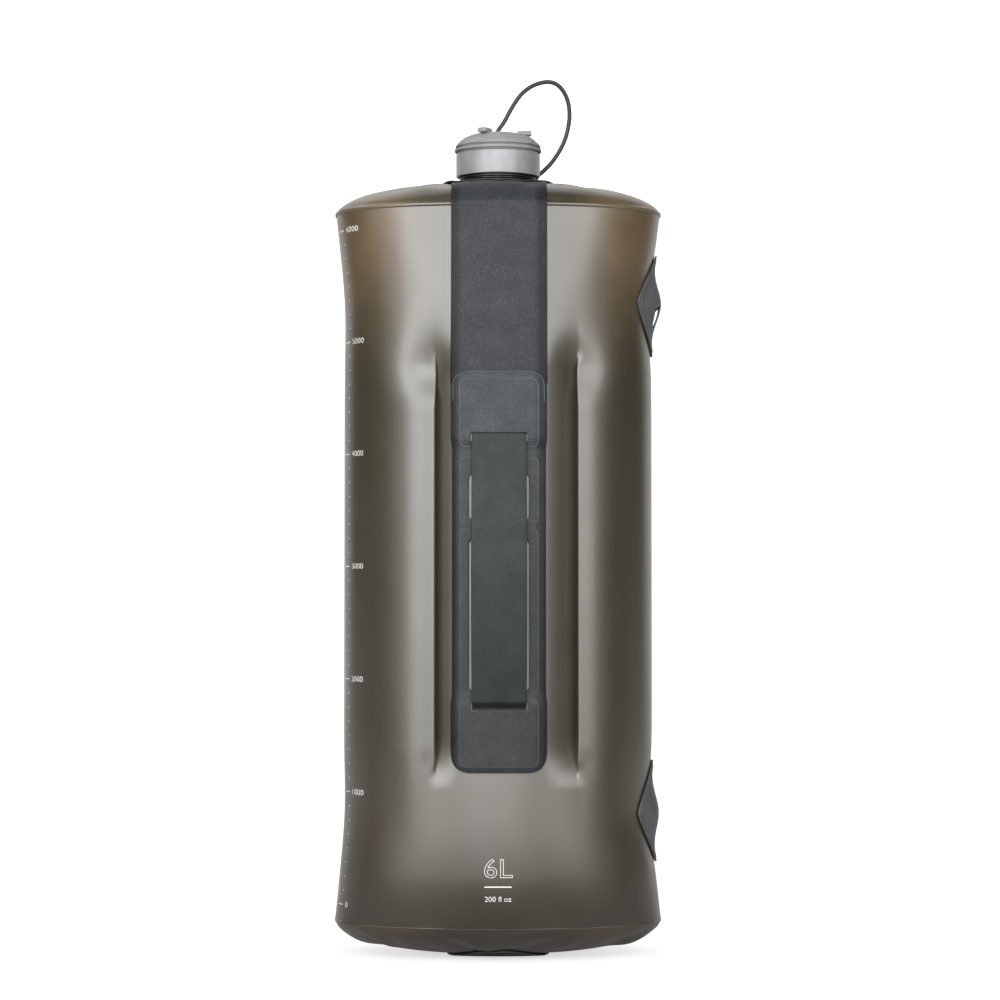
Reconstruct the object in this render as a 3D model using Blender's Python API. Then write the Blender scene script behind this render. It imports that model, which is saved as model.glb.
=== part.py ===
"""Collapsible six litre water carrier that stands full: a welded film bag with two inner baffles, straps
welded down the front and the back, each with a slotted handle panel and a webbing grip, two lash tabs on
the right side, and a screw cap on a swivelling tether. Metres, +Z up, front towards -Y, the neck's axis
is the Z axis, and the carrier stands on z = 0."""

import math

import bmesh
import bpy
from mathutils import Vector

# Shared clearances
GAP = 0.0003
OVERRUN = 0.004
MERGE = 0.000001

# Film bag
FILM_WALL = 0.0006
BAG_WIDTH = 0.172
BAG_DEPTH = 0.118
SEAM_LOW = 0.0185
SEAM_HIGH = 0.4127
END_WIDENING = 0.0049
END_DRAW_IN = 0.005
END_REACH = 0.085
SEAM_LIP = 0.0005
SECTION_POWER_SHARE = 2.2
SIDE_ANGLES_DEG = (0, 8, 16, 24, 33, 43)
MIDDLE_COLUMN_SHARES = (-0.06, 0.1)
WALL_ROW_SHARES = (0, 0.03, 0.08, 0.125, 0.155, 0.19, 0.225, 0.255, 0.34, 0.42, 0.5)

# Top and bottom panels
DOME_RISE = 0.0151
DOME_FLAT_RADIUS = 0.031
DOME_INNER_POWER_SHARE = 2.6
DOME_OUTER_POWER_SHARE = 0.75
DOME_RING_SHARES = (0, 0.3, 0.55, 0.74, 0.87, 0.95, 0.99, 1)
FOOT_RING_SHARES = (0, 0.3, 0.5, 0.64, 0.76, 0.87, 0.95, 1)
FOOT_FLAT_SHARE = 0.5
FOOT_INNER_POWER_SHARE = 2
FOOT_OUTER_POWER_SHARE = 0.6
TOP_SIDES = 36
FOOT_SIDES = 36

# Baffles and the creases that they pull into the walls
CREASE_LEFT_BESIDE = 0.0075
CREASE_RIGHT_BESIDE = 0.0165
CREASE_LOW = 0.1064
CREASE_HIGH = 0.3235
CREASE_FADE = 0.016
CREASE_DEPTH = 0.0075
CREASE_SPREAD = 0.0082
CREASE_POWER_SHARE = 1.5
CREASE_COLUMN_SHARES = (-1, -0.45, 0, 0.45, 1)
BAFFLE_WALL = 0.0006
BAFFLE_HEM = 0.004
BAFFLE_ROW_SHARES = (0, 0.04, 0.1, 0.3, 0.5, 0.7, 0.9, 0.96, 1)

# Neck
NECK_RADIUS = 0.019
NECK_BORE_RADIUS = 0.017
NECK_HEIGHT = 0.0155
NECK_FLANGE_RADIUS = 0.029
NECK_FLANGE_WALL = 0.0012
COLLAR_RADIUS = 0.0215
COLLAR_HEIGHT = 0.001
NECK_EDGE = 0.0004
ROUND_SIDES = 36

# Straps and the patch round the neck
STRAP_WIDTH = 0.052
STRAP_WALL = 0.0008
STRAP_END = 0.3135
PATCH_RADIUS = 0.0385
PATCH_WALL = 0.0008
PATCH_BLEND = 0.006
PATCH_RING_SHARES = (0, 0.35, 0.7, 1)
STRAP_RISE = 0.0005
STRAP_BLEND = 0.006
STRAP_COLUMN_SHARES = (-1, -0.5, 0, 0.5, 1)
STRAP_DROP_SHARES = (0.02, 0.08, 0.2, 0.4, 0.7, 1)

# Handle panels: a welded plate with two windows and two slots for the webbing
PLATE_WIDTH = 0.050
PLATE_LOW = 0.1034
PLATE_HIGH = 0.3210
PLATE_WALL = 0.0012
PLATE_CORNER = 0.007
PLATE_RISE = 0.0018
PLATE_STEP = 0.008
PLATE_COLUMN_SHARES = (-1, -0.5, 0, 0.5, 1)
WINDOW_WIDTH = 0.0330
WINDOW_CORNER = 0.003
WINDOW_LOW = 0.1478
WINDOW_BAR_LOW = 0.2291
WINDOW_BAR_HIGH = 0.2399
WINDOW_HIGH = 0.2648
SLOT_LOW = 0.1375
SLOT_HIGH = 0.2870
SLOT_HEIGHT = 0.0052
SLOT_SIDE_ROOM = 0.0006
CORNER_STEPS = 4

# Webbing grips
WEBBING_WIDTH = 0.030
WEBBING_WALL = 0.0012
WEBBING_TAIL = 0.019
WEBBING_RAMP = 0.0044
WEBBING_BOW = 0.0036
WEBBING_COLUMN_SHARES = (-1, 0, 1)
WEBBING_ROW_SHARES = (0.08, 0.17, 0.28, 0.39, 0.5, 0.61, 0.72, 0.83, 0.92)

# Lash tabs on the right side
TAB_ABOVE_LOW_SEAM = 0.0605
TAB_BELOW_HIGH_SEAM = 0.0517
TAB_HALF_HEIGHT = 0.0283
TAB_HALF_WIDTH = 0.0260
TAB_WALL = 0.0010
TAB_RISE = 0.0005
TAB_TAPER_SHARE = 1.25
TAB_TIP_SHARE = 0.14
TAB_DENT = 0.0022
TAB_DENT_REACH = 0.018
BRIDGE_HALF_WIDTH = 0.0085
BRIDGE_FLAT = 0.0072
BRIDGE_HALF_HEIGHT = 0.0140
BRIDGE_RISE = 0.0047
BRIDGE_SLIT = 0.0016
TAB_ROW_SHARES = (0.72, 0.88, 1)

# Base patch under the foot
BASE_HALF_WIDTH = 0.0286
BASE_HALF_DEPTH = 0.0380
BASE_WALL = 0.0012
BASE_SIDES = 32
BASE_RING_SHARES = (0, 0.4, 0.7, 0.88, 1)

# Cap
CAP_RADIUS = 0.0235
CAP_WALL = 0.0018
CAP_SKIRT_HEIGHT = 0.0131
DECK_WALL = 0.0015
CAP_EDGE = 0.0004
SEAL_WALL = 0.0010
SEAL_INNER_RADIUS = 0.0155
SEAL_OUTER_RADIUS = 0.0209
DOME_FLANGE_RADIUS = 0.0244
DOME_HEIGHT = 0.0115
DOME_FOOT_RADIUS = 0.0223
DOME_FOOT_WALL = 0.0017
DOME_FOOT_HEIGHT = 0.0008
CAP_DOME_SHARES = (
    (0.992, 0.07),
    (1, 0.09),
    (1, 0.16),
    (0.988, 0.21),
    (0.959, 0.245),
    (0.959, 0.28),
    (0.980, 0.315),
    (0.955, 0.40),
    (0.893, 0.54),
    (0.791, 0.73),
    (0.643, 0.88),
    (0.451, 0.965),
)
CAP_HOLLOW_SHARES = (
    (0.43, 0.81),
    (0.615, 0.73),
    (0.75, 0.60),
    (0.844, 0.45),
)
CAP_SIDES = 40
LUG_COUNT = 3
LUG_LENGTH = 0.0080
LUG_WIDTH = 0.0055
LUG_HEIGHT = 0.0026
LUG_REACH = 0.0148
LUG_EDGE = 0.0009

# Tether: swivel in the cap, ring round the neck and the cord between them
SWIVEL_HEAD_RADIUS = 0.0046
SWIVEL_HEAD_WALL = 0.0014
SWIVEL_STEM_RADIUS = 0.0018
SWIVEL_COLLAR_RADIUS = 0.0034
SWIVEL_COLLAR_WALL = 0.0012
SWIVEL_FLOOR_WALL = 0.0016
SWIVEL_SIDES = 24
RING_WALL = 0.0010
RING_WIDTH = 0.0020
RING_EAR_X = 0.0215
RING_EAR_Y = 0.0150
RING_EAR_WIDTH = 0.0044
RING_BOSS_RADIUS = 0.0022
RING_BOSS_HEIGHT = 0.0024
CORD_DIAMETER = 0.0022
CORD_STEPS = 28
CORD_END_GAP = 0.0004
CORD_ROUTE = (
    (0.0000, 0.0000, 0.0005),
    (0.0002, 0.0001, 0.0020),
    (0.0036, 0.0007, 0.0070),
    (0.0079, 0.0016, 0.0150),
    (0.0128, 0.0028, 0.0223),
    (0.0182, 0.0042, 0.0270),
    (0.0237, 0.0056, 0.0295),
    (0.0288, 0.0070, 0.0304),
    (0.0330, 0.0082, 0.0293),
    (0.0366, 0.0093, 0.0260),
    (0.0393, 0.0105, 0.0207),
    (0.0404, 0.0117, 0.0144),
    (0.0401, 0.0127, 0.0077),
    (0.0381, 0.0137, -0.0008),
    (0.0346, 0.0144, -0.0081),
    (0.0303, 0.0148, -0.0143),
    (0.0262, 0.0150, -0.0186),
    (0.0230, 0.0150, -0.0214),
    (0.0215, 0.0150, -0.0233),
    (0.0215, 0.0150, -0.0244),
)

# Colours
FILM_COLOUR = (0.19, 0.17, 0.145)
FABRIC_COLOUR = (0.062, 0.068, 0.075)
GREY_COLOUR = (0.38, 0.39, 0.39)
BLACK_COLOUR = (0.02, 0.02, 0.022)

FRONT = -1
BACK = 1
TAB_LOW = SEAM_LOW + TAB_ABOVE_LOW_SEAM
TAB_HIGH = SEAM_HIGH - TAB_BELOW_HIGH_SEAM
DOME_TOP = SEAM_HIGH + GAP + DOME_RISE
NECK_TOP = DOME_TOP + NECK_HEIGHT
NECK_HOLE_RADIUS = NECK_RADIUS + GAP
PATCH_RISE = STRAP_RISE + STRAP_WALL + STRAP_RISE
COLLAR_LOW = DOME_TOP + PATCH_RISE + PATCH_WALL + GAP
CAP_DECK_LOW = NECK_TOP + GAP + SEAL_WALL + GAP
CAP_HIGH = CAP_DECK_LOW + DECK_WALL
CAP_LOW = CAP_HIGH - CAP_SKIRT_HEIGHT
CAP_DOME_LOW = CAP_HIGH + GAP
CAP_TOP = CAP_DOME_LOW + DOME_HEIGHT
RING_LOW = COLLAR_LOW + COLLAR_HEIGHT + GAP
BOSS_HIGH = RING_LOW + RING_BOSS_HEIGHT - RING_WALL
BASE_RISE = BASE_WALL + GAP
WELD_EDGE = max(STRAP_WIDTH, PLATE_WIDTH) / 2
CREASE_LEFT = -(WELD_EDGE + CREASE_LEFT_BESIDE)
CREASE_RIGHT = WELD_EDGE + CREASE_RIGHT_BESIDE
CREASES = (CREASE_LEFT, CREASE_RIGHT)
BAG_MIDDLE = Vector((0, 0, (SEAM_LOW + SEAM_HIGH) / 2))


def clear_scene():
    for thing in list(bpy.data.objects):
        bpy.data.objects.remove(thing)


def smooth_step(share):
    """0 below 0 and 1 above 1, with an even curve between them."""
    share = min(max(share, 0), 1)
    return share * share * (3 - 2 * share)


def finish(thing, colour, roughness, metallic=0.0):
    """Gives a piece a material of its own."""
    material = bpy.data.materials.new(thing.name + "_finish")
    material.use_nodes = True
    shader = material.node_tree.nodes["Principled BSDF"]
    shader.inputs["Base Color"].default_value = (*colour, 1)
    shader.inputs["Roughness"].default_value = roughness
    shader.inputs["Metallic"].default_value = metallic
    material.diffuse_color = (*colour, 1)
    thing.data.materials.append(material)


def piece(name, shape):
    """Turns a bmesh into a named object, shaded smooth with sharp edges kept."""
    mesh = bpy.data.meshes.new(name)
    shape.to_mesh(mesh)
    shape.free()
    mesh.shade_smooth()
    mesh.set_sharp_from_angle(angle=math.radians(35))
    thing = bpy.data.objects.new(name, mesh)
    bpy.context.scene.collection.objects.link(thing)
    return thing


def thicken(thing, wall, outwards):
    solid = thing.modifiers.new("wall", "SOLIDIFY")
    solid.thickness = wall
    solid.offset = 1 if outwards else -1
    solid.use_even_offset = True


def boolean(thing, tool, operation):
    step = thing.modifiers.new(tool.name, "BOOLEAN")
    step.operation = operation
    step.solver = "EXACT"
    step.object = tool
    tool.hide_render = True
    tool.display_type = "WIRE"


def sheet(columns, rows, place, lift=None, drop_face=None):
    """A grid laid over a surface by place(column, row), facing away from the bag's middle. lift(point)
    says how far each of its points then stands off that surface."""
    shape = bmesh.new()
    across, along = len(columns) - 1, len(rows) - 1
    bmesh.ops.create_grid(shape, x_segments=across, y_segments=along, size=1)
    for vert in shape.verts:
        column = columns[round((vert.co.x + 1) / 2 * across)]
        row = rows[round((vert.co.y + 1) / 2 * along)]
        vert.co = place(column, row)
    bmesh.ops.remove_doubles(shape, verts=shape.verts, dist=MERGE)
    shape.normal_update()
    facing = sum(f.normal.dot(f.calc_center_median() - BAG_MIDDLE) for f in shape.faces)
    if facing < 0:
        bmesh.ops.reverse_faces(shape, faces=shape.faces)
        shape.normal_update()
    if drop_face:
        gone = [f for f in shape.faces if drop_face(f.calc_center_median())]
        bmesh.ops.delete(shape, geom=gone, context="FACES")
    if lift:
        moves = [(vert, vert.normal * lift(vert.co)) for vert in shape.verts]
        for vert, move in moves:
            vert.co += move
    return shape


def turned(name, outline, sides):
    """A closed outline of (radius, height) points, turned round the Z axis."""
    shape = bmesh.new()
    verts = [shape.verts.new((radius, 0, height)) for radius, height in outline]
    edges = [shape.edges.new((a, b)) for a, b in zip(verts, verts[1:] + verts[:1], strict=True)]
    bmesh.ops.spin(
        shape,
        geom=verts + edges,
        cent=(0, 0, 0),
        axis=(0, 0, 1),
        angle=math.tau,
        steps=sides,
        use_merge=True,
    )
    bmesh.ops.remove_doubles(shape, verts=shape.verts, dist=MERGE)
    bmesh.ops.dissolve_degenerate(shape, edges=shape.edges, dist=MERGE)
    bmesh.ops.recalc_face_normals(shape, faces=shape.faces)
    return piece(name, shape)


def rounded_block(name, size, corner, steps, middle):
    """A block whose edges along Y are rounded."""
    shape = bmesh.new()
    bmesh.ops.create_cube(shape, size=1)
    bmesh.ops.scale(shape, verts=shape.verts, vec=size)
    along = [e for e in shape.edges if abs(e.verts[0].co.y - e.verts[1].co.y) > size[1] / 2]
    bmesh.ops.bevel(
        shape, geom=along, offset=corner, segments=steps, profile=0.5, affect="EDGES", material=-1
    )
    bmesh.ops.translate(shape, verts=shape.verts, vec=middle)
    return piece(name, shape)


# The film's outer surface


def end_share(z):
    """1 at an end seam, falling to 0 at END_REACH from it."""
    away = min(z - SEAM_LOW, SEAM_HIGH - z)
    return max(0, 1 - away / END_REACH) ** 2


def half_width(z, side=1):
    """Half the section's width. Each lash tab draws the film in on the right side."""
    drawn = sum(math.exp(-(((z - tab) / TAB_DENT_REACH) ** 2)) for tab in (TAB_LOW, TAB_HIGH))
    return BAG_WIDTH / 2 + END_WIDENING * end_share(z) - (TAB_DENT * drawn if side > 0 else 0)


def half_depth(z):
    return BAG_DEPTH / 2 - END_DRAW_IN * end_share(z)


def oval_share(share):
    """How far an oval section stands out at this share of its half axis."""
    left = max(0, 1 - abs(share) ** SECTION_POWER_SHARE)
    return left ** (1 / SECTION_POWER_SHARE)


def crease_depth(x, z):
    run = smooth_step(min(z - CREASE_LOW, CREASE_HIGH - z) / CREASE_FADE)
    near = sum(max(0, 1 - abs(x - crease) / CREASE_SPREAD) ** CREASE_POWER_SHARE for crease in CREASES)
    return CREASE_DEPTH * run * near


def wall_depth(x, z):
    """Distance of the film's outer face from the XZ plane."""
    return half_depth(z) * oval_share(x / half_width(z, x)) - crease_depth(x, z)


def rim_point(angle, grow=0.0):
    """The outline of an end panel at this angle, as X and Y."""
    power = 2 / SECTION_POWER_SHARE
    across = math.copysign(abs(math.cos(angle)) ** power, math.cos(angle))
    along = math.copysign(abs(math.sin(angle)) ** power, math.sin(angle))
    return (half_width(SEAM_HIGH) + grow) * across, (half_depth(SEAM_HIGH) + grow) * along


def rim_share(x, y):
    """Place between the flat round the neck, 0, and the end panel's rim, 1."""
    reach = math.hypot(x, y)
    power = SECTION_POWER_SHARE
    wide = abs(x / half_width(SEAM_HIGH)) ** power
    deep = abs(y / half_depth(SEAM_HIGH)) ** power
    rim = reach / max((wide + deep) ** (1 / power), MERGE)
    return min(max(reach - DOME_FLAT_RADIUS, 0) / (rim - DOME_FLAT_RADIUS), 1)


def dome_height(x, y):
    inner = 1 - rim_share(x, y) ** DOME_INNER_POWER_SHARE
    return DOME_TOP - DOME_RISE * (1 - inner**DOME_OUTER_POWER_SHARE)


def foot_height(share):
    """The bottom panel's outer face at this share of the way from its middle to its rim."""
    out = max(0, share - FOOT_FLAT_SHARE) / (1 - FOOT_FLAT_SHARE)
    inner = 1 - out**FOOT_INNER_POWER_SHARE
    return BASE_RISE + (SEAM_LOW - GAP - BASE_RISE) * (1 - inner**FOOT_OUTER_POWER_SHARE)


# Film bag


def make_wall(name, side):
    angles = [math.cos(math.radians(angle)) for angle in SIDE_ANGLES_DEG]
    round_side = [share ** (2 / SECTION_POWER_SHARE) for share in angles]
    folds = [
        (crease + CREASE_SPREAD * share) / (BAG_WIDTH / 2)
        for crease in CREASES
        for share in CREASE_COLUMN_SHARES
    ]
    columns = sorted([-share for share in round_side] + round_side + folds + list(MIDDLE_COLUMN_SHARES))
    shares = list(WALL_ROW_SHARES) + [1 - share for share in WALL_ROW_SHARES[-2::-1]]
    low, high = SEAM_LOW + GAP, SEAM_HIGH - GAP
    rows = [low + (high - low) * share for share in shares]

    def place(share, z):
        x = share * half_width(z, share)
        return Vector((x, side * max(wall_depth(x, z), GAP / 2), z))

    wall = piece(name, sheet(columns, rows, place))
    thicken(wall, FILM_WALL, outwards=False)
    finish(wall, FILM_COLOUR, roughness=0.35)


def make_top_panel():
    turns = [math.tau * step / TOP_SIDES for step in range(TOP_SIDES + 1)]

    def place(turn, share):
        rim_x, rim_y = rim_point(turn)
        inner = Vector((math.cos(turn), math.sin(turn))) * NECK_HOLE_RADIUS
        spot = inner.lerp(Vector((rim_x, rim_y)), share)
        lip_x, lip_y = rim_point(turn, SEAM_LIP)
        height = dome_height(spot.x, spot.y)
        if share == 1:
            return Vector((lip_x, lip_y, height))
        return Vector((spot.x, spot.y, height))

    panel = piece("top_panel", sheet(turns, DOME_RING_SHARES, place))
    thicken(panel, FILM_WALL, outwards=False)
    finish(panel, FILM_COLOUR, roughness=0.35)


def make_bottom_panel():
    turns = [math.tau * step / FOOT_SIDES for step in range(FOOT_SIDES + 1)]

    def place(turn, share):
        rim_x, rim_y = rim_point(turn, SEAM_LIP if share == 1 else 0)
        return Vector((rim_x * share, rim_y * share, foot_height(share)))

    panel = piece("bottom_panel", sheet(turns, FOOT_RING_SHARES, place))
    thicken(panel, FILM_WALL, outwards=False)
    finish(panel, FILM_COLOUR, roughness=0.35)


def make_baffle(name, crease):
    """A film sheet from the front crease to the back one, its two edges folded over as weld hems."""
    low, high = CREASE_LOW + GAP, CREASE_HIGH - GAP
    rows = [low + (high - low) * share for share in BAFFLE_ROW_SHARES]
    inside = FILM_WALL + FILM_WALL + BAFFLE_WALL + GAP
    outward = math.copysign(1, crease)

    def place(column, z):
        side, hem = column
        reach = wall_depth(crease, z) - inside
        fold = wall_depth(crease + outward * BAFFLE_HEM, z) - inside - BAFFLE_WALL if hem else reach
        return Vector((crease + outward * BAFFLE_HEM * hem, side * min(reach, fold), z))

    columns = ((FRONT, 1), (FRONT, 0), (BACK, 0), (BACK, 1))
    baffle = piece(name, sheet(columns, rows, place))
    thicken(baffle, BAFFLE_WALL, outwards=False)
    finish(baffle, FILM_COLOUR, roughness=0.35)


# Neck


def make_neck():
    low = DOME_TOP - FILM_WALL - GAP
    collar_high = COLLAR_LOW + COLLAR_HEIGHT
    outline = (
        (NECK_BORE_RADIUS, low - NECK_FLANGE_WALL),
        (NECK_FLANGE_RADIUS, low - NECK_FLANGE_WALL),
        (NECK_FLANGE_RADIUS, low),
        (NECK_RADIUS, low),
        (NECK_RADIUS, COLLAR_LOW),
        (COLLAR_RADIUS, COLLAR_LOW),
        (COLLAR_RADIUS, collar_high - NECK_EDGE),
        (COLLAR_RADIUS - NECK_EDGE, collar_high),
        (NECK_RADIUS, collar_high),
        (NECK_RADIUS, NECK_TOP - NECK_EDGE),
        (NECK_RADIUS - NECK_EDGE, NECK_TOP),
        (NECK_BORE_RADIUS + NECK_EDGE, NECK_TOP),
        (NECK_BORE_RADIUS, NECK_TOP - NECK_EDGE),
    )
    finish(turned("neck_spout", outline, ROUND_SIDES), BLACK_COLOUR, roughness=0.3)


# Straps and neck patch


def make_neck_patch():
    turns = [math.tau * step / ROUND_SIDES for step in range(ROUND_SIDES + 1)]
    inner = NECK_HOLE_RADIUS

    def place(turn, share):
        reach = inner + (PATCH_RADIUS - inner) * share
        x, y = math.cos(turn) * reach, math.sin(turn) * reach
        return Vector((x, y, dome_height(x, y)))

    def lift(point):
        beside = (abs(point.x) - STRAP_WIDTH / 2 - GAP) / PATCH_BLEND
        return PATCH_RISE + (GAP - PATCH_RISE) * smooth_step(beside)

    patch = piece("neck_patch", sheet(turns, PATCH_RING_SHARES, place, lift))
    thicken(patch, PATCH_WALL, outwards=True)
    finish(patch, FABRIC_COLOUR, roughness=0.6)


def make_strap(name, side):
    """Runs from under the neck patch over the end seam and down the wall, under the handle panel."""
    columns = [STRAP_WIDTH / 2 * share for share in STRAP_COLUMN_SHARES]
    start = NECK_HOLE_RADIUS + GAP
    rows = [("top", share) for share in DOME_RING_SHARES] + [("wall", share) for share in STRAP_DROP_SHARES]

    def place(x, row):
        part, share = row
        if part == "top":
            rim = half_depth(SEAM_HIGH) * oval_share(x / half_width(SEAM_HIGH))
            y = start + (rim - start) * share
            return Vector((x, side * y, dome_height(x, y)))
        z = SEAM_HIGH + (STRAP_END - SEAM_HIGH) * share
        return Vector((x, side * wall_depth(x, z), z))

    def lift(point):
        return STRAP_RISE + SEAM_LIP * (1 - smooth_step(abs(point.z - SEAM_HIGH) / STRAP_BLEND))

    strap = piece(name, sheet(columns, rows, place, lift))
    thicken(strap, STRAP_WALL, outwards=True)
    finish(strap, FABRIC_COLOUR, roughness=0.65)


# Handle panels and webbing grips


def plate_lift(point):
    """The panel lies on the film between its slots and stands off it over the webbing's two ends."""
    upper = (point.z - SLOT_HIGH) / PLATE_STEP + 1
    lower = (SLOT_LOW - point.z) / PLATE_STEP + 1
    return GAP + (PLATE_RISE - GAP) * smooth_step(max(upper, lower))


def spaced(low, high, step):
    count = max(1, round((high - low) / step))
    return [low + (high - low) * index / count for index in range(count)]


def make_plate(name, side):
    columns = [(PLATE_WIDTH / 2 + GAP) * share for share in PLATE_COLUMN_SHARES]
    low_step, high_step = SLOT_LOW + SLOT_HEIGHT, SLOT_HIGH - SLOT_HEIGHT
    rows = spaced(PLATE_LOW - GAP, SLOT_LOW - SLOT_HEIGHT, PLATE_CORNER + PLATE_CORNER)
    rows += spaced(SLOT_LOW - SLOT_HEIGHT, low_step + PLATE_STEP, PLATE_STEP / 2)
    rows += spaced(low_step + PLATE_STEP, high_step - PLATE_STEP, WEBBING_WIDTH)
    rows += spaced(high_step - PLATE_STEP, SLOT_HIGH + SLOT_HEIGHT, PLATE_STEP / 2)
    rows += spaced(SLOT_HIGH + SLOT_HEIGHT, PLATE_HIGH + GAP, PLATE_CORNER + PLATE_CORNER)
    rows.append(PLATE_HIGH + GAP)

    def place(x, z):
        return Vector((x, side * wall_depth(x, z), z))

    plate = piece(name, sheet(columns, rows, place, plate_lift))
    thicken(plate, PLATE_WALL, outwards=True)
    finish(plate, FABRIC_COLOUR, roughness=0.6)
    middle_y = side * BAG_DEPTH / 2
    through = PLATE_RISE + PLATE_WALL + END_DRAW_IN + OVERRUN
    outline = rounded_block(
        name + "_outline",
        (PLATE_WIDTH, through + through, PLATE_HIGH - PLATE_LOW),
        PLATE_CORNER,
        CORNER_STEPS,
        (0, middle_y, (PLATE_LOW + PLATE_HIGH) / 2),
    )
    boolean(plate, outline, "INTERSECT")
    holes = {
        "lower_window": (WINDOW_WIDTH, WINDOW_LOW, WINDOW_BAR_LOW, WINDOW_CORNER),
        "upper_window": (WINDOW_WIDTH, WINDOW_BAR_HIGH, WINDOW_HIGH, WINDOW_CORNER),
    }
    slot_width = WEBBING_WIDTH + SLOT_SIDE_ROOM + SLOT_SIDE_ROOM
    for slot, height in (("lower_slot", SLOT_LOW), ("upper_slot", SLOT_HIGH)):
        holes[slot] = (slot_width, height - SLOT_HEIGHT / 2, height + SLOT_HEIGHT / 2, WEBBING_WALL)
    for hole, (width, low, high, corner) in holes.items():
        cutter = rounded_block(
            name + "_" + hole,
            (width, through + through, high - low),
            corner,
            CORNER_STEPS // 2,
            (0, middle_y, (low + high) / 2),
        )
        boolean(plate, cutter, "DIFFERENCE")


def make_webbing(name, side):
    """Its tails lie behind the panel, and it comes out through the slots and bows off the panel between."""
    columns = [WEBBING_WIDTH / 2 * share for share in WEBBING_COLUMN_SHARES]
    ramp = WEBBING_RAMP / 2
    span_low, span_high = SLOT_LOW + ramp, SLOT_HIGH - ramp
    rows = [SLOT_LOW - WEBBING_TAIL, SLOT_LOW - ramp, span_low]
    rows += [span_low + (span_high - span_low) * share for share in WEBBING_ROW_SHARES]
    rows += [span_high, SLOT_HIGH + ramp, SLOT_HIGH + WEBBING_TAIL]
    front_rise = PLATE_RISE + PLATE_WALL + GAP

    def lift(point):
        share = (point.z - span_low) / (span_high - span_low)
        if 0 <= round(share, 4) <= 1:
            return front_rise + WEBBING_BOW * math.sin(math.pi * min(max(share, 0), 1))
        return GAP

    def place(x, z):
        return Vector((x, side * wall_depth(x, z), z))

    webbing = piece(name, sheet(columns, rows, place, lift))
    thicken(webbing, WEBBING_WALL, outwards=True)
    finish(webbing, FABRIC_COLOUR, roughness=0.7)


# Lash tabs


def make_lash_tab(name, height):
    """A diamond welded over the side seam, its middle a bridge cut free by two slits and bowed outwards."""
    steps = [0, BRIDGE_FLAT, (BRIDGE_FLAT + BRIDGE_HALF_HEIGHT) / 2, BRIDGE_HALF_HEIGHT]
    steps += [TAB_HALF_HEIGHT * share for share in TAB_ROW_SHARES]
    rows = [-step for step in steps[:0:-1]] + steps
    slit_in, slit_out = BRIDGE_HALF_WIDTH, BRIDGE_HALF_WIDTH + BRIDGE_SLIT
    columns = range(-4, 5)

    def place(column, up):
        taper = 1 - (abs(up) / TAB_HALF_HEIGHT) ** TAB_TAPER_SHARE
        edge = TAB_HALF_WIDTH * (TAB_TIP_SHARE + (1 - TAB_TIP_SHARE) * taper)
        inner = min(slit_in, edge * slit_in / (slit_in + slit_out))
        outer = inner * slit_out / slit_in
        y = math.copysign((0, inner, outer, (outer + edge) / 2, edge)[abs(column)], column)
        z = height + up
        share = min(abs(y) / half_depth(z), 1)
        return Vector((half_width(z) * oval_share(share), y, z))

    def in_slit(centre):
        across, up = abs(centre.y), abs(centre.z - height)
        return slit_in < across < slit_out and up < BRIDGE_HALF_HEIGHT

    def lift(point):
        if abs(point.y) > slit_in + BRIDGE_SLIT / 2:
            return TAB_RISE
        fall = (abs(point.z - height) - BRIDGE_FLAT) / (BRIDGE_HALF_HEIGHT - BRIDGE_FLAT)
        levelling = half_width(point.z) * (1 - oval_share(abs(point.y) / half_depth(point.z)))
        return TAB_RISE + (BRIDGE_RISE + levelling) * (1 - smooth_step(fall))

    tab = piece(name, sheet(columns, rows, place, lift, in_slit))
    thicken(tab, TAB_WALL, outwards=True)
    finish(tab, FABRIC_COLOUR, roughness=0.55)


def make_base_patch():
    turns = [math.tau * step / BASE_SIDES for step in range(BASE_SIDES + 1)]

    def place(turn, share):
        x = BASE_HALF_WIDTH * share * math.cos(turn)
        y = BASE_HALF_DEPTH * share * math.sin(turn)
        wide = abs(x / half_width(SEAM_LOW)) ** SECTION_POWER_SHARE
        deep = abs(y / half_depth(SEAM_LOW)) ** SECTION_POWER_SHARE
        rim = (wide + deep) ** (1 / SECTION_POWER_SHARE)
        return Vector((x, y, foot_height(rim)))

    patch = piece("base_patch", sheet(turns, BASE_RING_SHARES, place, lambda point: GAP))
    thicken(patch, BASE_WALL, outwards=True)
    finish(patch, FABRIC_COLOUR, roughness=0.6)


# Cap


def make_cap_skirt():
    inner = CAP_RADIUS - CAP_WALL
    outline = (
        (0, CAP_HIGH),
        (CAP_RADIUS - CAP_EDGE, CAP_HIGH),
        (CAP_RADIUS, CAP_HIGH - CAP_EDGE),
        (CAP_RADIUS, CAP_LOW + CAP_EDGE),
        (CAP_RADIUS - CAP_EDGE, CAP_LOW),
        (inner + CAP_EDGE, CAP_LOW),
        (inner, CAP_LOW + CAP_EDGE),
        (inner, CAP_DECK_LOW),
        (0, CAP_DECK_LOW),
    )
    skirt = turned("cap_skirt", outline, ROUND_SIDES)
    finish(skirt, GREY_COLOUR, roughness=0.3, metallic=0.3)
    return skirt


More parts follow.
